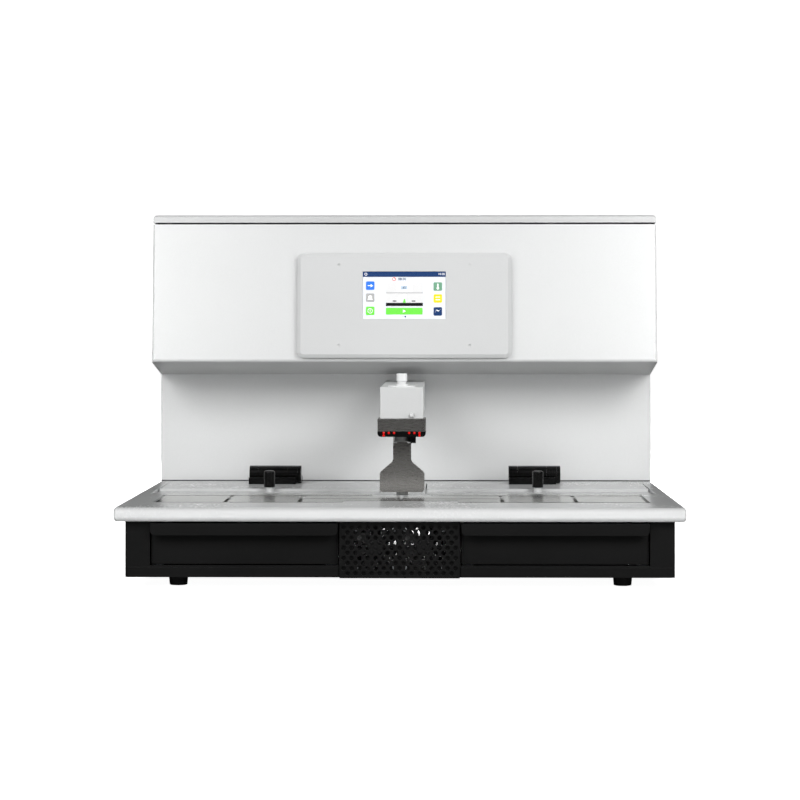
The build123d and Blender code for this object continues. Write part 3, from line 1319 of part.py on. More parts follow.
# Paddle: a plate with a narrow neck, rolled round its pin, that swings back when pushed
notch_z = pin_z - PADDLE_BARREL - LUG_GAP
neck_z = pin_z - NECK_LENGTH
shoulder_z = neck_z - SHOULDER_LENGTH
toe_z = shoulder_z - BLADE_LENGTH
with BuildPart() as paddle:
    with BuildSketch(facing(PADDLE_AT)):
        with BuildLine():
            Polyline(
                (-tongue_half, pin_z),
                (-tongue_half, notch_z),
                (-NECK_HALF, notch_z),
                (-NECK_HALF, neck_z),
                (-BLADE_HALF, shoulder_z),
                (-BLADE_HALF, toe_z),
                (-BLADE_HALF + PADDLE_TOE_INSET, toe_z - PADDLE_TOE_LENGTH),
                (BLADE_HALF - PADDLE_TOE_INSET, toe_z - PADDLE_TOE_LENGTH),
                (BLADE_HALF, toe_z),
                (BLADE_HALF, shoulder_z),
                (NECK_HALF, neck_z),
                (NECK_HALF, notch_z),
                (tongue_half, notch_z),
                (tongue_half, pin_z),
                close=True,
            )
        blade_outline = make_face()
        shoulders = blade_outline.vertices().filter_by_position(Axis.Y, shoulder_z, neck_z)
        fillet(shoulders, SHOULDER_ROUND)
    extrude(amount=-PADDLE_SHEET)
    ring((-tongue_half, tongue_half), (pin_depth, pin_z), PADDLE_BARREL)
    pin_bore = PADDLE_PIN_RADIUS + PADDLE_PIN_CLEARANCE
    ring((-tongue_half, tongue_half), (pin_depth, pin_z), pin_bore, Mode.SUBTRACT)
paddle.part.label = "paddle"
export_step(paddle.part, "parts/paddle.step")

with BuildPart() as paddle_pin:
    ring((-lug_outer, lug_outer), (pin_depth, pin_z), PADDLE_PIN_RADIUS)
paddle_pin.part.label = "paddle_pin"
export_step(paddle_pin.part, "parts/paddle_pin.step")

with BuildPart() as paddle_switch:
    switch_rear = pin_depth - LUG_LENGTH / 2 - SWITCH_AHEAD
    block(
        (SWITCH_X, SWITCH_X + SWITCH_WIDTH),
        (switch_rear - SWITCH_LENGTH, switch_rear),
        (lamp_z - SWITCH_HEIGHT, lamp_z),
    )
    fillet(paddle_switch.edges().filter_by(Axis.Z), 0.6)
paddle_switch.part.label = "paddle_switch"
export_step(paddle_switch.part, "parts/paddle_switch.step")

with BuildPart() as paddle_stop:
    block(
        (-STOP_WIDTH / 2, STOP_WIDTH / 2),
        (PADDLE_AT + STOP_BEHIND, PADDLE_AT + STOP_BEHIND + STOP_LENGTH),
        (worktop_z, worktop_z + STOP_HEIGHT),
    )
    fillet(paddle_stop.edges().filter_by(Axis.Z), 1)
paddle_stop.part.label = "paddle_stop"
export_step(paddle_stop.part, "parts/paddle_stop.step")

# Control board on standoffs against the back panel, and the power supply on the worktop
board_rear = back_inner - BOARD_STANDOFF
board_front = board_rear - BOARD_THICKNESS
with BuildPart() as control_board:
    with BuildSketch(facing(board_front)):
        with Locations((0, BOARD_Z)):
            Rectangle(BOARD_WIDTH, BOARD_HEIGHT)
    extrude(amount=-BOARD_THICKNESS)
    with BuildSketch(facing(board_rear)):
        with Locations((0, BOARD_Z)):
            with GridLocations(BOARD_WIDTH - 12, BOARD_HEIGHT - 12, 2, 2):
                RegularPolygon(STANDOFF_RADIUS, 6)
    extrude(amount=-BOARD_STANDOFF)
    for x, z, width, height, tall in BOARD_PARTS:
        with BuildSketch(facing(board_front)):
            with Locations((x, BOARD_Z + z)):
                Rectangle(width, height)
        extrude(amount=tall)
control_board.part.label = "control_board"
export_step(control_board.part, "parts/control_board.step")

supply_x = SUPPLY_FROM_SIDE - half_width
supply_rear = back_inner - SUPPLY_FROM_BACK
with BuildPart() as power_supply:
    block(
        (supply_x - SUPPLY_WIDTH / 2, supply_x + SUPPLY_WIDTH / 2),
        (supply_rear - SUPPLY_LENGTH, supply_rear),
        (worktop_z, worktop_z + SUPPLY_HEIGHT),
    )
    chamfer(power_supply.edges().filter_by(Axis.Y).group_by(Axis.Z)[-1], 3)
power_supply.part.label = "power_supply"
export_step(power_supply.part, "parts/power_supply.step")

# Power entry: a flanged module with a three-prong inlet below and a rocker switch above
entry_rear = back_outer + ENTRY_FLANGE
entry_middle = (entry_x, ENTRY_Z)
socket_z = ENTRY_Z - SOCKET_DROP
rocker_z = ENTRY_Z + ROCKER_RAISE
with BuildPart() as power_entry:
    with BuildSketch(facing(entry_rear)):
        with Locations(entry_middle):
            RectangleRounded(ENTRY_WIDTH, ENTRY_HEIGHT, 3)
    extrude(amount=ENTRY_FLANGE)
    with BuildSketch(facing(back_outer)):
        with Locations(entry_middle):
            Rectangle(ENTRY_BODY_WIDTH, ENTRY_BODY_HEIGHT)
    extrude(amount=ENTRY_BODY)
    with BuildSketch(facing(entry_rear)):
        with Locations((entry_x, socket_z)):
            socket = Rectangle(SOCKET_WIDTH, SOCKET_HEIGHT)
        chamfer(socket.vertices().group_by(Axis.Y)[-1], SOCKET_HEIGHT / 4)
    extrude(amount=SOCKET_DEPTH, mode=Mode.SUBTRACT)
    with BuildSketch(facing(entry_rear - SOCKET_DEPTH)):
        with Locations((entry_x - 7, socket_z - 2), (entry_x, socket_z + 2), (entry_x + 7, socket_z - 2)):
            Rectangle(2, 4)
    extrude(amount=-PRONG_LENGTH)
    rocker_depths = (back_outer - ROCKER_HEIGHT / 2, entry_rear)
    block(
        (entry_x - ROCKER_WIDTH / 2, entry_x + ROCKER_WIDTH / 2),
        rocker_depths,
        (rocker_z - ROCKER_HEIGHT / 2, rocker_z + ROCKER_HEIGHT / 2),
        Mode.SUBTRACT,
    )
power_entry.part.label = "power_entry"
export_step(power_entry.part, "parts/power_entry.step")

rocker_half = ROCKER_HEIGHT / 2 - ROCKER_CLEARANCE
rocker_pivot = back_outer - ROCKER_PIVOT_IN
tilt = radians(ROCKER_TILT)
rocker_outline = []
for out, up in (
    (0, -rocker_half * 0.6),
    (0, rocker_half * 0.6),
    (ROCKER_PIVOT_IN, rocker_half),
    (ROCKER_REACH, rocker_half),
    (ROCKER_REACH - ROCKER_DISH, 0),
    (ROCKER_REACH, -rocker_half),
    (ROCKER_PIVOT_IN, -rocker_half),
):
    depth = rocker_pivot + out * cos(tilt) - up * sin(tilt)
    rocker_outline.append((depth, rocker_z + out * sin(tilt) + up * cos(tilt)))
with BuildPart() as power_rocker:
    rocker_xs = (entry_x - ROCKER_WIDTH / 2 + SLIDE_GAP, entry_x + ROCKER_WIDTH / 2 - SLIDE_GAP)
    side_view(rocker_xs, rocker_outline)
    ring(rocker_xs, (rocker_pivot, rocker_z), ROCKER_HUB)
power_rocker.part.label = "power_rocker"
export_step(power_rocker.part, "parts/power_rocker.step")
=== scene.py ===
"""Looks of a tissue embedding station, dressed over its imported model.

Lengths are metres unless a name says otherwise. +X is the operator's right, +Y the rear, +Z up.
"""

import bmesh
import bpy
from math import atan, cos, pi, radians, sin
from mathutils import Matrix, Vector


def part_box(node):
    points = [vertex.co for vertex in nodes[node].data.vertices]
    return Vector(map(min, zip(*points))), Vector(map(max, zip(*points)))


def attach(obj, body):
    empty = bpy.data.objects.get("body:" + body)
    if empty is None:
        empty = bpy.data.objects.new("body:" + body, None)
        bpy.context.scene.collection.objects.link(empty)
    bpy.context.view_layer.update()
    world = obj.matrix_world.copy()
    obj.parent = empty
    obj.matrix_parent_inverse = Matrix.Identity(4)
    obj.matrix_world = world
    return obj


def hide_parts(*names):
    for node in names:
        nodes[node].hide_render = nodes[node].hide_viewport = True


MM = 0.001
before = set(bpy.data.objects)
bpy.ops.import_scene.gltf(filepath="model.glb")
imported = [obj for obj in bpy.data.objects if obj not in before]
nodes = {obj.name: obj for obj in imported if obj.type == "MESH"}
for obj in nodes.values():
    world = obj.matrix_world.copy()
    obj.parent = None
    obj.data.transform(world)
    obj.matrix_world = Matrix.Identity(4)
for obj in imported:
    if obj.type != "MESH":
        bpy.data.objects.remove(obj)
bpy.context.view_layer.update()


# Helpers for colours, nodes and pieces


def linear(code):
    """Linear RGBA of an sRGB hex code."""
    channels = [int(code[i : i + 2], 16) / 255 for i in (0, 2, 4)]
    return [c / 12.92 if c <= 0.04045 else ((c + 0.055) / 1.055) ** 2.4 for c in channels] + [1.0]


def add_node(tree, kind, settings=None, inputs=None):
    """Add a node with its settings; each input takes a value or the socket that feeds it."""
    node = tree.nodes.new(kind)
    for name, value in (settings or {}).items():
        setattr(node, name, value)
    for name, value in (inputs or {}).items():
        if isinstance(value, bpy.types.NodeSocket):
            tree.links.new(value, node.inputs[name])
        else:
            node.inputs[name].default_value = value
    return node


def add_piece(name, mesh, body, materials=()):
    """Put a finished mesh into the scene as a piece that moves with a body."""
    piece = bpy.data.objects.new(name, mesh)
    bpy.context.scene.collection.objects.link(piece)
    for material in materials:
        mesh.materials.append(material)
    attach(piece, body)
    return piece


def paint(material, *names):
    """Give CAD nodes a finish through their objects' material slots."""
    for name in names:
        for slot in nodes[name].material_slots:
            slot.link = "OBJECT"
            slot.material = material


def mesh_from(name, build):
    """A mesh whose faces are made by build(bm), with its normals pointing outwards."""
    bm = bmesh.new()
    build(bm)
    bmesh.ops.recalc_face_normals(bm, faces=bm.faces)
    mesh = bpy.data.meshes.new(name)
    bm.to_mesh(mesh)
    bm.free()
    return mesh


# Materials

DRIFT_MM = 90.0
NOISE_LOW, NOISE_HIGH = 0.12, 0.38


def surface(name, colours, grain_mm, relief_mm, roughness, metallic=0.0, stretch=(1, 1, 1), edge_mm=0.5):
    """A finish with a slow drift of colour and gloss, a fine grain in relief, and eased edges."""
    material = bpy.data.materials.new(name)
    material.use_nodes = True
    tree = material.node_tree
    tree.nodes.clear()
    place = add_node(tree, "ShaderNodeTexCoord").outputs["Object"]
    mapping = add_node(tree, "ShaderNodeMapping", None, {"Vector": place, "Scale": stretch})
    grain = add_node(
        tree,
        "ShaderNodeTexNoise",
        None,
        {"Vector": mapping.outputs[0], "Scale": 1 / (grain_mm * MM), "Detail": 3.0},
    ).outputs[0]
    drift = add_node(
        tree,
        "ShaderNodeTexNoise",
        None,
        {"Vector": place, "Scale": 1 / (DRIFT_MM * MM), "Detail": 4.0},
    ).outputs[0]
    both = add_node(tree, "ShaderNodeMath", {"operation": "MULTIPLY"}, {0: grain, 1: drift}).outputs[0]
    tone = add_node(
        tree,
        "ShaderNodeMapRange",
        None,
        {"Value": both, "From Min": NOISE_LOW, "From Max": NOISE_HIGH},
    ).outputs[0]
    colour = add_node(
        tree,
        "ShaderNodeMix",
        {"data_type": "RGBA"},
        {0: tone, 6: linear(colours[0]), 7: linear(colours[1])},
    ).outputs[2]
    gloss = add_node(
        tree,
        "ShaderNodeMapRange",
        None,
        {
            "Value": both,
            "From Min": NOISE_LOW,
            "From Max": NOISE_HIGH,
            "To Min": roughness[0],
            "To Max": roughness[1],
        },
    ).outputs[0]
    eased = add_node(tree, "ShaderNodeBevel", {"samples": 4}, {"Radius": edge_mm * MM}).outputs[0]
    relief = add_node(
        tree,
        "ShaderNodeBump",
        None,
        {"Height": grain, "Distance": relief_mm * MM, "Strength": 1.0, "Normal": eased},
    ).outputs[0]
    shader = add_node(
        tree,
        "ShaderNodeBsdfPrincipled",
        None,
        {"Base Color": colour, "Roughness": gloss, "Metallic": metallic, "Normal": relief},
    )
    add_node(tree, "ShaderNodeOutputMaterial", None, {"Surface": shader.outputs[0]})
    return material, shader


def powder_coated_white():
    """Polyester powder baked on folded steel: bright, satin, with a faint orange peel."""
    return surface("powder_coated_white", ("CACBCB", "C7C8C8"), 1.6, 0.010, (0.34, 0.42))[0]


def powder_coated_grey():
    """The same powder in pale grey, on the lid: satin, a shade darker than the cabinet."""
    return surface("powder_coated_grey", ("BBBCBC", "B7B8B8"), 1.6, 0.010, (0.38, 0.46))[0]


def powder_coated_black():
    """Fine-texture black powder on the base: dark, with a soft sheen along its folds."""
    material, shader = surface(
        "powder_coated_black", ("0A0A0A", "0D0D0D"), 0.9, 0.012, (0.42, 0.52)
    )
    shader.inputs["Specular IOR Level"].default_value = 0.3
    return material


def cast_worktop():
    """Cast mineral worktop, sanded and sealed: white and satin, with a soft mirror at a low angle."""
    return surface("cast_worktop", ("D0D1D1", "CDCECE"), 2.5, 0.001, (0.22, 0.28))[0]


def moulded_white():
    """Injection-moulded white ABS: even, half gloss, with soft edges."""
    return surface("moulded_white", ("DEDFDF", "DBDCDC"), 0.8, 0.004, (0.30, 0.36))[0]


def moulded_black():
    """Polished-mould black nylon: near gloss, so that edges catch long highlights."""
    material, shader = surface(
        "moulded_black", ("060606", "090909"), 0.7, 0.003, (0.20, 0.28), edge_mm=0.7
    )
    shader.inputs["Specular IOR Level"].default_value = 0.35
    return material


def charcoal_anodised():
    """Sheet aluminium, brushed and anodised: a grey metal, dark wherever it mirrors a dark front."""
    return surface(
        "charcoal_anodised", ("979592", "9D9B98"), 0.35, 0.002, (0.24, 0.30), 0.9, (0.04, 1, 1), 0.3
    )[0]


def brushed_stainless():
    """Stainless sheet brushed along its length: streaks spread its highlights across the grain."""
    material, shader = surface(
        "brushed_stainless", ("D9D9D7", "C9C9C7"), 0.5, 0.004, (0.20, 0.32), 1.0, (0.012, 1, 1), 0.4
    )
    shader.inputs["Anisotropic"].default_value = 0.4
    return material


def drawn_stainless():
    """Deep-drawn stainless, pickled after drawing: a soft grey mirror with slow waves."""
    return surface("drawn_stainless", ("CFCFCD", "C4C4C2"), 6.0, 0.02, (0.16, 0.26), 1.0)[0]


def blasted_plate():
    """Aluminium plate, bead blasted and clear anodised: pale grey, satin, finely pitted."""
    return surface("blasted_plate", ("B9B9B5", "AFAFAB"), 0.5, 0.001, (0.18, 0.24), 1.0, edge_mm=0.4)[0]


def extruded_alloy():
    """Extruded aluminium: bright lines run along the press direction."""
    return surface("extruded_alloy", ("BEBEC0", "ABABAD"), 0.5, 0.005, (0.3, 0.42), 1.0, (1, 0.02, 1))[0]


def turned_steel():
    """Steel turned and ground: fine rings, clean and bright."""
    return surface("turned_steel", ("C2C2C0", "B2B2B0"), 0.4, 0.003, (0.18, 0.28), 1.0, (0.05, 1, 1))[0]


def zinc_plated():
    """Zinc-plated sheet: cool grey with a slightly clouded gloss."""
    return surface("zinc_plated", ("B4B7BA", "9DA1A4"), 9.0, 0.004, (0.3, 0.46), 1.0)[0]


def machined_brass():
    """Brass milled and turned: warm, with shallow tool marks."""
    return surface("machined_brass", ("C9A45A", "BA9449"), 0.6, 0.004, (0.22, 0.34), 1.0)[0]


def polished_collar():
    """Stainless collar, turned and lightly polished: a soft mirror of what stands round it."""
    return surface("polished_collar", ("C9CACA", "BDBEBE"), 0.5, 0.002, (0.26, 0.34), 1.0, (0.05, 1, 1))[0]


def moulded_rubber():
    """Moulded nitrile rubber: black, dull, with a dusty bloom."""
    return surface("moulded_rubber", ("151515", "1E1E1E"), 1.2, 0.02, (0.6, 0.75))[0]


def silicone_mat():
    """Silicone heater mat over a glass weave: brick red and matt."""
    return surface("silicone_mat", ("9B4A33", "8A3F2B"), 0.9, 0.05, (0.5, 0.62))[0]


def ceramic_tile():
    """Alumina faces of the thermoelectric modules: white and fired dull."""
    return surface("ceramic_tile", ("E6E4DC", "DBD9D0"), 0.6, 0.004, (0.45, 0.6))[0]


def coated_board():
    """Glass-epoxy board under green solder mask: glossy, with a slightly mottled copper plane."""
    return surface("coated_board", ("1C5B34", "154A29"), 2.2, 0.01, (0.28, 0.4))[0]


def moulded_fan():
    """Glass-filled black PBT of the fans: dark grey-black and half matt."""
    return surface("moulded_fan", ("1A1A1B", "232324"), 0.6, 0.01, (0.34, 0.46))[0]


def display_glass():
    """Cover glass of the display: flat, clear, over a white lit ground."""
    material, shader = surface("display_glass", ("E9ECF0", "E4E8ED"), 3.0, 0.0005, (0.08, 0.12))
    shader.inputs["Emission Color"].default_value = linear("F7F9FC")
    shader.inputs["Emission Strength"].default_value = 0.25
    return material


def lamp_lens():
    """Clear red lens of a small lamp that is on: it glows from within."""
    material, shader = surface("lamp_lens", ("C81410", "B01210"), 1.0, 0.001, (0.12, 0.18))
    shader.inputs["Emission Color"].default_value = linear("FF1208")
    shader.inputs["Emission Strength"].default_value = 0.3
    return material


def screen_ink(name, code):
    """One lit colour of the display's picture."""
    material, shader = surface(name, (code, code), 0.4, 0.0005, (0.25, 0.3), edge_mm=0.02)
    shader.inputs["Emission Color"].default_value = linear(code)
    shader.inputs["Emission Strength"].default_value = 0.35
    return material


white_coat = powder_coated_white()
grey_coat = powder_coated_grey()
black_coat = powder_coated_black()
black_moulding = moulded_black()
white_moulding = moulded_white()
charcoal = charcoal_anodised()
brushed = brushed_stainless()
steel = turned_steel()
zinc = zinc_plated()
rubber = moulded_rubber()
plate_metal = blasted_plate()

paint(white_coat, "cabinet_shell", "back_panel", "arm_housing")
paint(grey_coat, "top_lid", "top_rear_cover")
paint(black_coat, "base_tray", "left_drawer", "right_drawer")
paint(cast_worktop(), "worktop", "left_well_lid", "right_well_lid")
paint(white_moulding, "panel_frame", "lamp_button", "paddle_stop", "flow_knob", "knob_flange")
paint(black_moulding, "left_lid_knob", "right_lid_knob", "hinge_brackets", "left_hinge_knuckle")
paint(black_moulding, "right_hinge_knuckle", "lamp_housing", "paddle_switch", "power_entry")
paint(black_moulding, "power_rocker")
paint(charcoal, "lamp_bracket", "paddle")
paint(brushed, "drip_rails", "tank_shelf")
paint(drawn_stainless(), "left_well", "right_well", "paraffin_tank")
paint(plate_metal, "cooling_plates", "warm_plates")
paint(extruded_alloy(), "heat_sink", "plate_heaters")
paint(steel, "hinge_pins", "lid_hinge_pins", "paddle_pin", "delivery_pipe")
paint(steel, "lid_hinge_front_leaves", "lid_hinge_rear_leaves")
paint(zinc, "drawer_runners", "power_supply")
paint(machined_brass(), "outlet_valve")
paint(polished_collar(), "nozzle")
paint(rubber, "feet", "lid_bumpers")
paint(silicone_mat(), "well_heaters", "tank_heater")
paint(ceramic_tile(), "cooling_modules")
paint(coated_board(), "control_board")
paint(moulded_fan(), "fan_housings", "left_fan_rotor", "right_fan_rotor")
paint(display_glass(), "display")
paint(lamp_lens(), "lamp_leds")


# Geometry trees

BOOLEAN = {"operation": "DIFFERENCE", "solver": "EXACT"}
HOLE_SIDES = 20


def new_tree(name, inputs):
    """A geometry tree with a geometry input and named inputs; returns it with its input node."""
    tree = bpy.data.node_groups.new(name, "GeometryNodeTree")
    tree.interface.new_socket(name="Geometry", in_out="INPUT", socket_type="NodeSocketGeometry")
    for title, kind in inputs.items():
        tree.interface.new_socket(name=title, in_out="INPUT", socket_type="NodeSocket" + kind)
    tree.interface.new_socket(name="Geometry", in_out="OUTPUT", socket_type="NodeSocketGeometry")
    return tree, add_node(tree, "NodeGroupInput").outputs


def finish_tree(tree, geometry, material):
    """End a tree: make instances real and give the result its material."""
    real = add_node(tree, "GeometryNodeRealizeInstances", None, {"Geometry": geometry}).outputs[0]
    painted = add_node(tree, "GeometryNodeSetMaterial", None, {"Geometry": real, "Material": material})
    add_node(tree, "NodeGroupOutput", None, {"Geometry": painted.outputs[0]})


def grow(name, tree, points, values):
    """Run a tree over a mesh of points and return the plain mesh that comes out."""
    seed = bpy.data.meshes.new(name + "_points")
    seed.from_pydata(points, [], [])
    holder = bpy.data.objects.new(name + "_holder", seed)
    bpy.context.scene.collection.objects.link(holder)
    modifier = holder.modifiers.new("growth", "NODES")
    modifier.node_group = tree
    for item in tree.interface.items_tree:
        if item.in_out == "INPUT" and item.name in values:
            modifier[item.identifier] = values[item.name]
    evaluated = holder.evaluated_get(bpy.context.evaluated_depsgraph_get())
    mesh = bpy.data.meshes.new_from_object(evaluated)
    holder.modifiers.remove(modifier)
    bpy.data.objects.remove(holder)
    mesh.name = name
    return mesh


def perforated_pan_tree():
    """A shallow pan whose front is punched with staggered round holes."""
    sizes = {name: "Float" for name in ("Width", "Stand", "Height", "Sheet", "Hole", "Pitch", "Row Pitch")}
    sizes.update({"Columns": "Int", "Rows": "Int", "Material": "Material"})
    tree, given = new_tree("perforated_pan", sizes)

    def maths(operation, first, second):
        return add_node(tree, "ShaderNodeMath", {"operation": operation}, {0: first, 1: second}).outputs[0]

    double_sheet = maths("MULTIPLY", given["Sheet"], 2.0)
    outer = add_node(
        tree,
        "ShaderNodeCombineXYZ",
        None,
        {"X": given["Width"], "Y": given["Stand"], "Z": given["Height"]},
    ).outputs[0]
    inner = add_node(
        tree,
        "ShaderNodeCombineXYZ",
        None,
        {
            "X": maths("SUBTRACT", given["Width"], double_sheet),
            "Y": given["Stand"],
            "Z": maths("SUBTRACT", given["Height"], double_sheet),
        },
    ).outputs[0]
    behind = add_node(tree, "ShaderNodeCombineXYZ", None, {"Y": given["Sheet"]}).outputs[0]
    block = add_node(tree, "GeometryNodeMeshCube", None, {"Size": outer}).outputs[0]
    hollow = add_node(tree, "GeometryNodeMeshCube", None, {"Size": inner}).outputs[0]
    hollow = add_node(
        tree, "GeometryNodeTransform", None, {"Geometry": hollow, "Translation": behind}
    ).outputs[0]
    pan = add_node(
        tree, "GeometryNodeMeshBoolean", BOOLEAN, {"Mesh 1": block, "Mesh 2": hollow}
    ).outputs[0]

    columns_less = maths("SUBTRACT", given["Columns"], 1.0)
    grid = add_node(
        tree,
        "GeometryNodeMeshGrid",
        None,
        {
            "Size X": maths("MULTIPLY", columns_less, given["Pitch"]),
            "Size Y": maths("MULTIPLY", maths("SUBTRACT", given["Rows"], 1.0), given["Row Pitch"]),
            "Vertices X": given["Columns"],
            "Vertices Y": given["Rows"],
        },
    ).outputs[0]
    index = add_node(tree, "GeometryNodeInputIndex").outputs[0]
    row = maths("MODULO", index, given["Rows"])
    column = maths("FLOOR", maths("DIVIDE", index, given["Rows"]), 0.0)
    staggered = maths("SUBTRACT", 1.0, maths("MODULO", row, 2.0))
    shift = maths("MULTIPLY", maths("MULTIPLY", staggered, given["Pitch"]), 0.5)
    offset = add_node(tree, "ShaderNodeCombineXYZ", None, {"X": shift}).outputs[0]
    surplus = maths("MULTIPLY", staggered, maths("COMPARE", column, columns_less))
    kept = add_node(
        tree, "GeometryNodeDeleteGeometry", {"domain": "POINT"}, {"Geometry": grid, "Selection": surplus}
    )
    placed = add_node(
        tree, "GeometryNodeSetPosition", None, {"Geometry": grid, "Offset": offset}
    ).outputs[0]
    tree.links.new(placed, kept.inputs["Geometry"])
    upright = add_node(
        tree,
        "GeometryNodeTransform",
        None,
        {"Geometry": kept.outputs[0], "Rotation": (pi / 2, 0, 0)},
    ).outputs[0]
    forward = add_node(
        tree, "ShaderNodeCombineXYZ", None, {"Y": maths("MULTIPLY", given["Stand"], -0.5)}
    ).outputs[0]
    upright = add_node(
        tree, "GeometryNodeTransform", None, {"Geometry": upright, "Translation": forward}
    ).outputs[0]
    punch = add_node(
        tree,
        "GeometryNodeMeshCylinder",
        None,
        {
            "Vertices": HOLE_SIDES,
            "Radius": given["Hole"],
            "Depth": maths("MULTIPLY", double_sheet, 2.0),
        },
    ).outputs[0]
    punches = add_node(
        tree,
        "GeometryNodeInstanceOnPoints",
        None,
        {"Points": upright, "Instance": punch, "Rotation": (pi / 2, 0, 0)},
    ).outputs[0]
    punches = add_node(tree, "GeometryNodeRealizeInstances", None, {"Geometry": punches}).outputs[0]
    punched = add_node(
        tree, "GeometryNodeMeshBoolean", BOOLEAN, {"Mesh 1": pan, "Mesh 2": punches}
    ).outputs[0]
    finish_tree(tree, punched, given["Material"])
    return tree


SCREW_SIDES = 20
HEAD_STEPS = ((0.28, 1.0), (0.16, 0.93), (0.1, 0.8))
RECESS_LENGTH, RECESS_WIDTH = 1.15, 0.2
RECESS_HEIGHT, RECESS_MIDDLE = 0.6, 0.54


def screw_tree():
    """Pan-head screws with a cross recess, one on each point; sizes are shares of the radius."""
    tree, given = new_tree("pan_screws", {"Radius": "Float", "Facing": "Vector", "Material": "Material"})

    def scaled(share):
        return add_node(
            tree, "ShaderNodeMath", {"operation": "MULTIPLY"}, {0: given["Radius"], 1: share}
        ).outputs[0]

    rim = add_node(
        tree,
        "GeometryNodeMeshCircle",
        {"fill_type": "NGON"},
        {"Vertices": SCREW_SIDES, "Radius": given["Radius"]},
    ).outputs[0]
    head, top = rim, None
    for rise, narrowing in HEAD_STEPS:
        step = add_node(
            tree, "GeometryNodeExtrudeMesh", {"mode": "FACES"}, {"Mesh": head, "Offset Scale": scaled(rise)}
        )
        if top is not None:
            tree.links.new(top, step.inputs["Selection"])
        top = step.outputs["Top"]
        head = add_node(
            tree,
            "GeometryNodeScaleElements",
            None,
            {"Geometry": step.outputs["Mesh"], "Selection": top, "Scale": narrowing},
        ).outputs[0]
    for across, along in ((RECESS_LENGTH, RECESS_WIDTH), (RECESS_WIDTH, RECESS_LENGTH)):
        size = add_node(
            tree,
            "ShaderNodeCombineXYZ",
            None,
            {"X": scaled(across), "Y": scaled(along), "Z": scaled(RECESS_HEIGHT)},
        ).outputs[0]
        lift = add_node(tree, "ShaderNodeCombineXYZ", None, {"Z": scaled(RECESS_MIDDLE)}).outputs[0]
        bar = add_node(tree, "GeometryNodeMeshCube", None, {"Size": size}).outputs[0]
        bar = add_node(
            tree, "GeometryNodeTransform", None, {"Geometry": bar, "Translation": lift}
        ).outputs[0]
        head = add_node(
            tree, "GeometryNodeMeshBoolean", BOOLEAN, {"Mesh 1": head, "Mesh 2": bar}
        ).outputs[0]
    turn = add_node(
        tree, "FunctionNodeAlignRotationToVector", {"axis": "Z"}, {"Vector": given["Facing"]}
    ).outputs[0]
    points = add_node(tree, "GeometryNodeMeshToPoints", None, {"Mesh": given["Geometry"]}).outputs[0]
    heads = add_node(
        tree,
        "GeometryNodeInstanceOnPoints",
        None,
        {"Points": points, "Instance": head, "Rotation": turn},
    ).outputs[0]
    finish_tree(tree, heads, given["Material"])
    return tree


# Front grille: the real sheet has round punched holes

GRILLE_SHEET = 1.2 * MM
GRILLE_HOLE = 2.45 * MM
GRILLE_PITCH = 8.4 * MM
GRILLE_ROW_PITCH = 5.35 * MM
GRILLE_COLUMNS = 15
GRILLE_ROWS = 10
PUNCHED_EDGE = 0.12 * MM

low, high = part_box("front_grille")
grille_mesh = grow(
    "perforated_grille",
    perforated_pan_tree(),
    [(0, 0, 0)],
    {
        "Width": high.x - low.x,
        "Stand": high.y - low.y,
        "Height": high.z - low.z,
        "Sheet": GRILLE_SHEET,
        "Hole": GRILLE_HOLE,
        "Pitch": GRILLE_PITCH,
        "Row Pitch": GRILLE_ROW_PITCH,
        "Columns": GRILLE_COLUMNS,
        "Rows": GRILLE_ROWS,
        "Material": black_coat,
    },
)
grille_mesh.transform(Matrix.Translation((low + high) / 2))
grille = add_piece("perforated_grille", grille_mesh, "station")
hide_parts("front_grille")
edge = grille.modifiers.new("punched_edge", "BEVEL")
edge.width = PUNCHED_EDGE
edge.segments = 1
edge.limit_method = "ANGLE"


# Screws

screws = screw_tree()
BACK_SCREW = 2.9 * MM
HINGE_SCREW = 2.2 * MM
FAN_SCREW = 2.1 * MM
SIDE_SCREW = 2.6 * MM
HINGE_LEAF = 1.5 * MM
HINGE_LEAF_WIDTH = 50 * MM
FOOT_FLAT = 20.4 * MM
FOOT_HEIGHT = 5 * MM
FOOT_SCREW_FROM_REAR = 8 * MM
BACK_SCREW_FROM_EDGE = 9 * MM
BACK_SCREW_FROM_FOOT = 20 * MM
BACK_SCREW_FROM_SIDE = 100 * MM
FAN_SCREW_FROM_HUB = 20 * MM
SIDE_SCREW_FROM_END = 60 * MM
SIDE_SCREW_FROM_TOP = 10 * MM
LEAF_SCREW_FROM_MIDDLE = 15 * MM
FRONT_LEAF_SHARE, REAR_LEAF_SHARE = 0.3, 0.72


def set_screws(name, points, facing, radius, body, material):
    """A row of screw heads seated on a face."""
    mesh = grow(name, screws, points, {"Radius": radius, "Facing": facing, "Material": material})
    return add_piece(name, mesh, body)


def spread(start, end, count):
    """Evenly spaced values from start to end."""
    return [start + (end - start) * i / (count - 1) for i in range(count)]


low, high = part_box("back_panel")
back_sides = (low.x + BACK_SCREW_FROM_EDGE, high.x - BACK_SCREW_FROM_EDGE)
back_top = high.z - BACK_SCREW_FROM_EDGE
back_rows = spread(low.z + BACK_SCREW_FROM_FOOT, back_top, 5)
back_columns = spread(low.x + BACK_SCREW_FROM_SIDE, high.x - BACK_SCREW_FROM_SIDE, 4)
back_points = [(x, high.y, z) for x in back_sides for z in back_rows]
back_points += [(x, high.y, back_top) for x in back_columns]
set_screws("back_screws", back_points, (0, 1, 0), BACK_SCREW, "station", zinc)

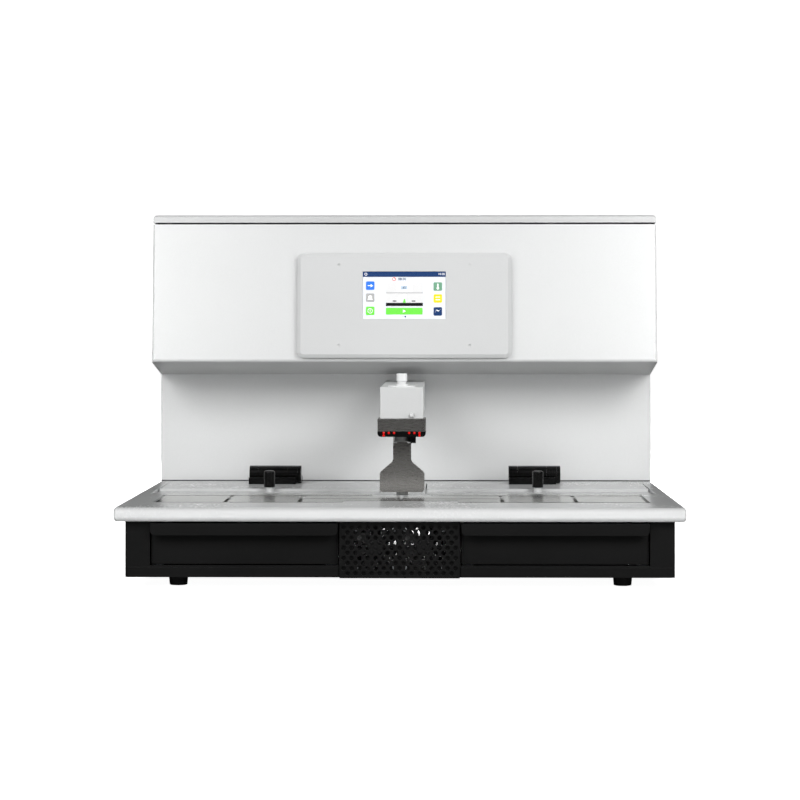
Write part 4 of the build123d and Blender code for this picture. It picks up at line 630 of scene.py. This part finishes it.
low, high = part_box("fan_housings")
tray_low, tray_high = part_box("base_tray")
fan_half = (high.z - low.z) / 2
fan_points = [
    (x + dx, tray_low.y, (low.z + high.z) / 2 + dz)
    for x in (low.x + fan_half, high.x - fan_half)
    for dx in (-FAN_SCREW_FROM_HUB, FAN_SCREW_FROM_HUB)
    for dz in (-FAN_SCREW_FROM_HUB, FAN_SCREW_FROM_HUB)
]
set_screws("fan_screws", fan_points, (0, -1, 0), FAN_SCREW, "station", zinc)

side_depths = spread(tray_low.y + SIDE_SCREW_FROM_END, tray_high.y - SIDE_SCREW_FROM_END, 3)
for side, face in (("left", tray_low.x), ("right", tray_high.x)):
    points = [(face, y, tray_high.z - SIDE_SCREW_FROM_TOP) for y in side_depths]
    outward = (-1 if side == "left" else 1, 0, 0)
    set_screws(side + "_base_screws", points, outward, SIDE_SCREW, "station", black_coat)

for leaves, body, share in (
    ("lid_hinge_front_leaves", "top_lid", FRONT_LEAF_SHARE),
    ("lid_hinge_rear_leaves", "station", REAR_LEAF_SHARE),
):
    low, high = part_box(leaves)
    leaf_y = low.y + (high.y - low.y) * share
    leaf_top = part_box("top_lid")[1].z + HINGE_LEAF
    middles = (low.x + HINGE_LEAF_WIDTH / 2, high.x - HINGE_LEAF_WIDTH / 2)
    offsets = (-LEAF_SCREW_FROM_MIDDLE, LEAF_SCREW_FROM_MIDDLE)
    points = [(x + dx, leaf_y, leaf_top) for x in middles for dx in offsets]
    set_screws(leaves + "_screws", points, (0, 0, 1), HINGE_SCREW, body, steel)

low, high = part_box("hinge_brackets")
lid_boxes = [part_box(side + "_well_lid") for side in ("left", "right")]
points = [
    ((near.x + far.x) / 2 + FOOT_FLAT, high.y - FOOT_SCREW_FROM_REAR, low.z + FOOT_HEIGHT)
    for near, far in lid_boxes
]
set_screws("bracket_screws", points, (0, 0, 1), HINGE_SCREW, "station", black_moulding)


# Thin black strip along the foot of the rear wall, which draws the dark line that runs there

SEAL_HEIGHT = 0.8 * MM
SEAL_REACH = 9.0 * MM
SEAL_FROM_END = 1.0 * MM
SEAL_STEPS = 6
WALL_Y = 90 * MM
deck_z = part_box("worktop")[1].z
cabinet_low, cabinet_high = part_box("cabinet_shell")


def build_seal(bm):
    """A low strip with a rounded front, extruded along the wall between the cabinet's ends."""
    outline = [(WALL_Y, deck_z)]
    for step in range(SEAL_STEPS + 1):
        turn = pi / 2 * step / SEAL_STEPS
        outline.append((WALL_Y - SEAL_REACH * cos(turn), deck_z + SEAL_HEIGHT * sin(turn)))
    start = [bm.verts.new((cabinet_low.x + SEAL_FROM_END, y, z)) for y, z in outline]
    face = bm.faces.new(start)
    grown = bmesh.ops.extrude_face_region(bm, geom=[face])
    moved = [item for item in grown["geom"] if isinstance(item, bmesh.types.BMVert)]
    length = cabinet_high.x - cabinet_low.x - 2 * SEAL_FROM_END
    bmesh.ops.translate(bm, verts=moved, vec=(length, 0, 0))


add_piece("wall_seal", mesh_from("wall_seal", build_seal), "station", [rubber])


# Picture on the display: coloured tiles, a plain diagram and numbers, as flat lit shapes

FACE_LEAN = radians(4.9)
SCREEN_RAISE = 12.0
SCREEN_OUT = 5.5
SCREEN_HALF_WIDTH = 49.2
SCREEN_HALF_HEIGHT = 28.0
INK_STEP = 0.04
SAME_POINT = 1e-4
TEXT_SIZE_PER_HEIGHT = 1.4

low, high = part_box("panel_frame")
panel_half = (high.z - low.z) / 2
panel_origin = Vector((0, high.y - panel_half * sin(FACE_LEAN) / cos(FACE_LEAN), (low.z + high.z) / 2))
panel_right = Vector((1, 0, 0))
panel_up = Vector((0, sin(FACE_LEAN), cos(FACE_LEAN)))
panel_out = Vector((0, -cos(FACE_LEAN), sin(FACE_LEAN)))

INKS = {
    "navy": "1B3A6B",
    "white": "FFFFFF",
    "pale": "DEDEDE",
    "mid": "BDBDBD",
    "steel_blue": "B9CAD8",
    "black": "111111",
    "blue": "2F78EE",
    "grey": "ABABAB",
    "green": "6FE048",
    "sage": "6FA083",
    "yellow": "F6D81C",
    "red": "E0352F",
}


def on_screen(u, v, layer):
    """World point of a place on the display, in millimetres right and up of its middle."""
    out = (SCREEN_OUT + layer * INK_STEP) * MM
    return panel_origin + panel_right * u * MM + panel_up * (v + SCREEN_RAISE) * MM + panel_out * out


def tile(u, v, width, height, corner=0.0):
    """Outline of a rectangle about (u, v), with round corners where corner is over zero."""
    points = []
    for sx, sy, start in ((1, 1, 0), (-1, 1, 90), (-1, -1, 180), (1, -1, 270)):
        cx = u + sx * (width / 2 - corner)
        cy = v + sy * (height / 2 - corner)
        steps = 5 if corner else 1
        for step in range(steps):
            turn = radians(start + 90 * step / max(steps - 1, 1))
            points.append((cx + corner * cos(turn), cy + corner * sin(turn)))
    return points


def dot(u, v, radius, sides=20):
    """Outline of a disc about (u, v)."""
    return [
        (u + radius * cos(2 * pi * i / sides), v + radius * sin(2 * pi * i / sides)) for i in range(sides)
    ]


LEFT_ICONS = ((-40.4, 11.2, "blue"), (-40.4, -3.1, "grey"), (-40.4, -18.8, "green"))
RIGHT_ICONS = ((39.8, 10.2, "sage"), (39.8, -4.1, "yellow"), (39.8, -19.5, "navy"))
ICON = 10.0
picture = [
    ("navy", 1, tile(0, SCREEN_HALF_HEIGHT - 3.15, 2 * SCREEN_HALF_WIDTH, 6.3)),
    ("white", 2, dot(-45.6, 24.9, 1.7)),
    ("navy", 3, dot(-45.6, 24.9, 1.1)),
    ("red", 1, dot(-12.0, 18.9, 2.1)),
    ("white", 2, dot(-12.0, 18.9, 1.45)),
    ("red", 3, tile(-11.6, 19.4, 0.5, 1.6)),
    ("pale", 1, tile(0.2, 9.5, 43.8, 12.2)),
    ("mid", 2, tile(0.2, 2.6, 43.8, 1.4)),
    ("pale", 1, tile(0.2, -3.6, 43.8, 11.2)),
    ("white", 2, tile(0.0, 8.6, 18.0, 9.6, 0.8)),
    ("steel_blue", 3, tile(0.0, 8.8, 8.0, 4.6, 0.3)),
    ("white", 2, tile(0.2, -1.2, 4.0, 4.6, 0.4)),
    ("green", 2, [(-1.5, -9.2), (1.9, -9.2), (0.7, -4.4), (-0.3, -4.4)]),
    ("black", 2, tile(-11.4, -7.2, 4.4, 1.2, 0.3)),
    ("black", 2, tile(11.0, -7.2, 4.4, 1.2, 0.3)),
    ("black", 1, tile(0.2, -11.2, 43.8, 3.7)),
    ("green", 1, tile(0.0, -19.2, 43.4, 7.9, 0.7)),
    ("white", 2, [(-1.6, -21.2), (2.2, -19.2), (-1.6, -17.2)]),
    ("steel_blue", 1, dot(-1.5, -25.7, 0.6, 12)),
    ("navy", 1, dot(1.3, -25.7, 0.95, 12)),
]
for u, v, ink in LEFT_ICONS + RIGHT_ICONS:
    picture.append((ink, 1, tile(u, v, ICON, ICON, 1.3)))
picture += [
    ("white", 2, tile(-41.2, 11.2, 4.2, 1.0)),
    ("white", 2, [(-39.8, 9.2), (-37.0, 11.2), (-39.8, 13.2)]),
    ("white", 2, tile(-40.4, -2.6, 4.4, 4.2, 1.8)),
    ("white", 2, tile(-40.4, -5.0, 6.2, 1.1, 0.4)),
    ("white", 2, dot(-40.4, -18.8, 3.1)),
    ("green", 3, dot(-40.4, -18.8, 2.4)),
    ("white", 4, tile(-40.4, -18.4, 0.8, 2.8)),
    ("white", 2, tile(39.8, 11.2, 1.5, 5.0, 0.7)),
    ("white", 2, dot(39.8, 8.2, 1.6)),
    ("white", 2, tile(39.8, -2.4, 5.6, 1.0, 0.3)),
    ("white", 2, tile(39.8, -5.6, 5.6, 1.0, 0.3)),
    (
        "white",
        2,
        [(36.2, -21.2), (38.6, -18.2), (40.4, -19.8), (43.2, -17.0), (40.5, -18.6), (38.6, -17.2)],
    ),
]


def build_picture(bm):
    """Every shape of the picture as a thin closed prism with its own ink."""
    inks = list(INKS)
    for ink, layer, outline in picture:
        base = [bm.verts.new(on_screen(u, v, layer - 1)) for u, v in outline]
        top = [bm.verts.new(on_screen(u, v, layer)) for u, v in outline]
        faces = [bm.faces.new(top), bm.faces.new(base[::-1])]
        for i in range(len(outline)):
            j = (i + 1) % len(outline)
            faces.append(bm.faces.new((base[i], base[j], top[j], top[i])))
        for face in faces:
            face.material_index = inks.index(ink)


def tidy_outline(outline):
    """The outline without points that repeat their neighbour."""
    kept = []
    for point in outline:
        if not kept or (Vector(point) - Vector(kept[-1])).length > SAME_POINT:
            kept.append(point)
    if (Vector(kept[0]) - Vector(kept[-1])).length < SAME_POINT:
        kept.pop()
    return kept


picture = [(ink, layer, tidy_outline(outline)) for ink, layer, outline in picture]
ink_materials = [screen_ink("screen_" + name, code) for name, code in INKS.items()]
picture_mesh = mesh_from("screen_picture", build_picture)
add_piece("screen_picture", picture_mesh, "station", ink_materials)


def numbers(name, text, u, v, height, layer, material):
    """Plain numerals on the display."""
    curve = bpy.data.curves.new(name, "FONT")
    curve.body = text
    curve.size = height * MM * TEXT_SIZE_PER_HEIGHT
    curve.extrude = INK_STEP * MM / 2
    curve.align_x = "CENTER"
    curve.align_y = "CENTER"
    holder = bpy.data.objects.new(name + "_curve", curve)
    bpy.context.scene.collection.objects.link(holder)
    evaluated = holder.evaluated_get(bpy.context.evaluated_depsgraph_get())
    mesh = bpy.data.meshes.new_from_object(evaluated)
    bpy.data.objects.remove(holder)
    turn = Matrix.Rotation(pi / 2 - FACE_LEAN, 4, "X")
    mesh.transform(Matrix.Translation(on_screen(u, v, layer)) @ turn)
    mesh.name = name
    mesh.materials.clear()
    return add_piece(name, mesh, "station", [material])


inks = dict(zip(INKS, ink_materials))
numbers("clock_numbers", "10:30", 44.0, 24.9, 2.6, 1.5, inks["white"])
numbers("timer_numbers", "08:30", -2.5, 18.9, 3.0, 0.5, inks["navy"])
numbers("setpoint_numbers", "65", 0.0, 8.8, 2.6, 3.5, inks["navy"])


# Marks of the power rocker: a bar for on and a ring for off

ROCKER_PIVOT = Vector((220, 312, 154)) * MM
ROCKER_LEAN = radians(9)
ROCKER_FACE = 4.25 * MM
ROCKER_MARK = 3.2 * MM
MARK_DISH = atan(1.2 / 5.9)
MARK_RAISE = 0.1 * MM
BAR_HALF_WIDTH, BAR_HALF_HEIGHT = 0.3, 1.3
RING_OUTER, RING_INNER = 1.4, 0.9
RING_STEP = 22.5


def on_rocker(u, v, half):
    """World point on one half (-1 lower, +1 upper) of the rocker's dished face."""
    lean = ROCKER_LEAN
    out_way = Vector((0, cos(lean), sin(lean)))
    up_way = Vector((0, -sin(lean), cos(lean)))
    out = ROCKER_FACE + half * v * sin(MARK_DISH)
    return ROCKER_PIVOT - Vector((1, 0, 0)) * u + up_way * (half * ROCKER_MARK + v) + out_way * out


def build_marks(bm):
    """A bar for on and a ring for off, printed in thin raised ink."""
    lift = Vector((0, MARK_RAISE, 0))
    signs = ((-1, -1), (1, -1), (1, 1), (-1, 1))
    shapes = [(1, [(x * BAR_HALF_WIDTH, y * BAR_HALF_HEIGHT) for x, y in signs])]
    for turn in range(int(360 / RING_STEP)):
        first, second = radians(turn * RING_STEP), radians(turn * RING_STEP + RING_STEP)
        ring = ((RING_OUTER, first), (RING_OUTER, second), (RING_INNER, second), (RING_INNER, first))
        corners = [(radius * cos(angle), radius * sin(angle)) for radius, angle in ring]
        shapes.append((-1, corners))
    for half, corners in shapes:
        base = [bm.verts.new(on_rocker(u * MM, v * MM, half)) for u, v in corners]
        top = [bm.verts.new(vert.co + lift) for vert in base]
        bm.faces.new(base)
        bm.faces.new(top[::-1])
        for i in range(4):
            bm.faces.new((base[i], top[i], top[(i + 1) % 4], base[(i + 1) % 4]))


marks = mesh_from("rocker_marks", build_marks)
add_piece("rocker_marks", marks, "power_rocker", [white_moulding])


# Camera, from the photograph's perspective

PHOTO_SIDE = 800
FOCAL_PX = 2269.1
AXIS_PX = (406.26, 322.45)
CAMERA_PLACE = (42.7 * MM, -2692.3 * MM, 280 * MM)
CAMERA_YAW = radians(0.858)
SENSOR_MM = 36.0
CLIP_END = 60

camera_data = bpy.data.cameras.new("camera")
camera_data.sensor_width = SENSOR_MM
camera_data.lens = FOCAL_PX / PHOTO_SIDE * SENSOR_MM
camera_data.shift_x = (PHOTO_SIDE / 2 - AXIS_PX[0]) / PHOTO_SIDE
camera_data.shift_y = (AXIS_PX[1] - PHOTO_SIDE / 2) / PHOTO_SIDE
camera_data.clip_end = CLIP_END
camera = bpy.data.objects.new("camera", camera_data)
camera.location = CAMERA_PLACE
camera.rotation_euler = (pi / 2, 0, CAMERA_YAW)
bpy.context.scene.collection.objects.link(camera)
bpy.context.scene.camera = camera
bpy.context.scene.view_settings.view_transform = "Standard"


# Set: a white floor and backdrop that only the camera meets, a grey bounce and a dark flag

FLOOR_RADIUS = 20
FLOOR_SIDES = 64
DOME_RADIUS = 22
FLAG_HALF_WIDTH = 2.5
FLAG_Y = -1.6
FLAG_LOW, FLAG_HIGH = -0.5, 2.5
WHITE_FLOOR = "FDFDFD"
WHITE_BACKDROP = "FFFFFF"
GREY_BOUNCE = "8C8C8C"
DARK_FLAG = "0A0A0A"
FLOOR_GLOW = 0.97
BOUNCE_BELOW_FLOOR = 2 * MM


def build_disc(bm):
    """A wide round floor."""
    turns = [2 * pi * step / FLOOR_SIDES for step in range(FLOOR_SIDES)]
    rim = [(FLOOR_RADIUS * cos(turn), FLOOR_RADIUS * sin(turn), 0) for turn in turns]
    bm.faces.new([bm.verts.new(corner) for corner in rim])


def build_dome(bm):
    """A ball around the whole set."""
    bmesh.ops.create_icosphere(bm, subdivisions=3, radius=DOME_RADIUS)


def build_flag(bm):
    """An upright dark flag in front of the set."""
    low_edge = [(side * FLAG_HALF_WIDTH, FLAG_Y, FLAG_LOW) for side in (-1, 1)]
    high_edge = [(side * FLAG_HALF_WIDTH, FLAG_Y, FLAG_HIGH) for side in (1, -1)]
    bm.faces.new([bm.verts.new(corner) for corner in low_edge + high_edge])


def set_stage(name, build, height, code, glow, seen):
    """A plain part of the set, met by the camera, by soft light or by mirror-like reflections."""
    material, shader = surface(name, (code, code), 4.0, 0.0, (0.9, 0.95))
    shader.inputs["Specular IOR Level"].default_value = 0.0
    shader.inputs["Emission Color"].default_value = linear("FFFFFF")
    shader.inputs["Emission Strength"].default_value = glow
    mesh = mesh_from(name, build)
    mesh.transform(Matrix.Translation((0, 0, height)))
    mesh.materials.append(material)
    part = bpy.data.objects.new(name, mesh)
    bpy.context.scene.collection.objects.link(part)
    part.visible_camera = "camera" in seen
    part.visible_diffuse = "light" in seen
    part.visible_glossy = "mirror" in seen
    part.visible_transmission = False
    part.visible_shadow = "light" in seen


set_stage("floor", build_disc, 0.0, WHITE_FLOOR, FLOOR_GLOW, ("camera",))
set_stage("floor_bounce", build_disc, -BOUNCE_BELOW_FLOOR, GREY_BOUNCE, 0.0, ("light", "mirror"))
set_stage("front_flag", build_flag, 0.0, DARK_FLAG, 0.0, ("mirror",))
set_stage("backdrop", build_dome, 0.0, WHITE_BACKDROP, 1.0, ("camera",))


# Light: a row is a softbox's name, place, target, size and watts, then the only pieces it lights

CABINET_FACES = ("cabinet_shell", "top_lid", "arm_housing", "flow_knob", "knob_flange")
SOFTBOXES = (
    ("left_high", (-1.0, -1.4, 1.1), (0, 0, 0.2), (0.8, 0.8), 16.0),
    ("right_high", (1.0, -1.4, 1.1), (0, 0, 0.2), (0.8, 0.8), 20.0),
    ("left_strip", (-0.48, -0.34, 0.34), (-0.25, -0.02, 0.3), (0.1, 0.4), 1.05, CABINET_FACES),
    ("right_strip", (0.48, -0.34, 0.34), (0.25, -0.02, 0.3), (0.1, 0.4), 1.2, CABINET_FACES),
    ("back_key", (0, 1.9, 0.42), (0, 0.3, 0.2), (0.3, 0.5), 28.0),
    ("nose_light", (0, -0.42, 0.0), (0, -0.32, 0.075), (1.2, 0.05), 0.9, ("worktop", "paddle_stop")),
    ("blade_light", (0, -0.24, 0.089), (0, -0.152, 0.098), (0.09, 0.012), 0.004, ("paddle",)),
)
GLOW_HEADING = (0, -1, 0)
GLOW_INNER = radians(10)
GLOW_OUTER = radians(50)


def soft_light(name, place, target, size, power, lit=()):
    """An area light at a place, aimed at a target, for every piece or for the few that it names."""
    data = bpy.data.lights.new(name, "AREA")
    data.shape = "RECTANGLE"
    data.size, data.size_y = size
    data.energy = power
    light = bpy.data.objects.new(name, data)
    light.location = place
    light.rotation_euler = (Vector(target) - Vector(place)).to_track_quat("-Z", "Y").to_euler()
    light.visible_camera = False
    bpy.context.scene.collection.objects.link(light)
    if lit:
        lit_pieces = bpy.data.collections.new(name + "_pieces")
        for node in lit:
            lit_pieces.objects.link(nodes[node])
        light.light_linking.receiver_collection = lit_pieces


for softbox in SOFTBOXES:
    soft_light(*softbox)

world = bpy.data.worlds.new("studio")
bpy.context.scene.world = world
world.use_nodes = True
sky = world.node_tree
way = add_node(sky, "ShaderNodeTexCoord").outputs["Generated"]
facing = add_node(sky, "ShaderNodeVectorMath", {"operation": "DOT_PRODUCT"}, {0: way, 1: GLOW_HEADING})
glow = add_node(
    sky,
    "ShaderNodeMapRange",
    {"interpolation_type": "SMOOTHSTEP"},
    {
        "Value": facing.outputs["Value"],
        "From Min": cos(GLOW_OUTER),
        "From Max": cos(GLOW_INNER),
    },
)
sky.links.new(glow.outputs[0], sky.nodes["Background"].inputs["Strength"])
sky.nodes["Background"].inputs["Color"].default_value = linear("FFFFFF")
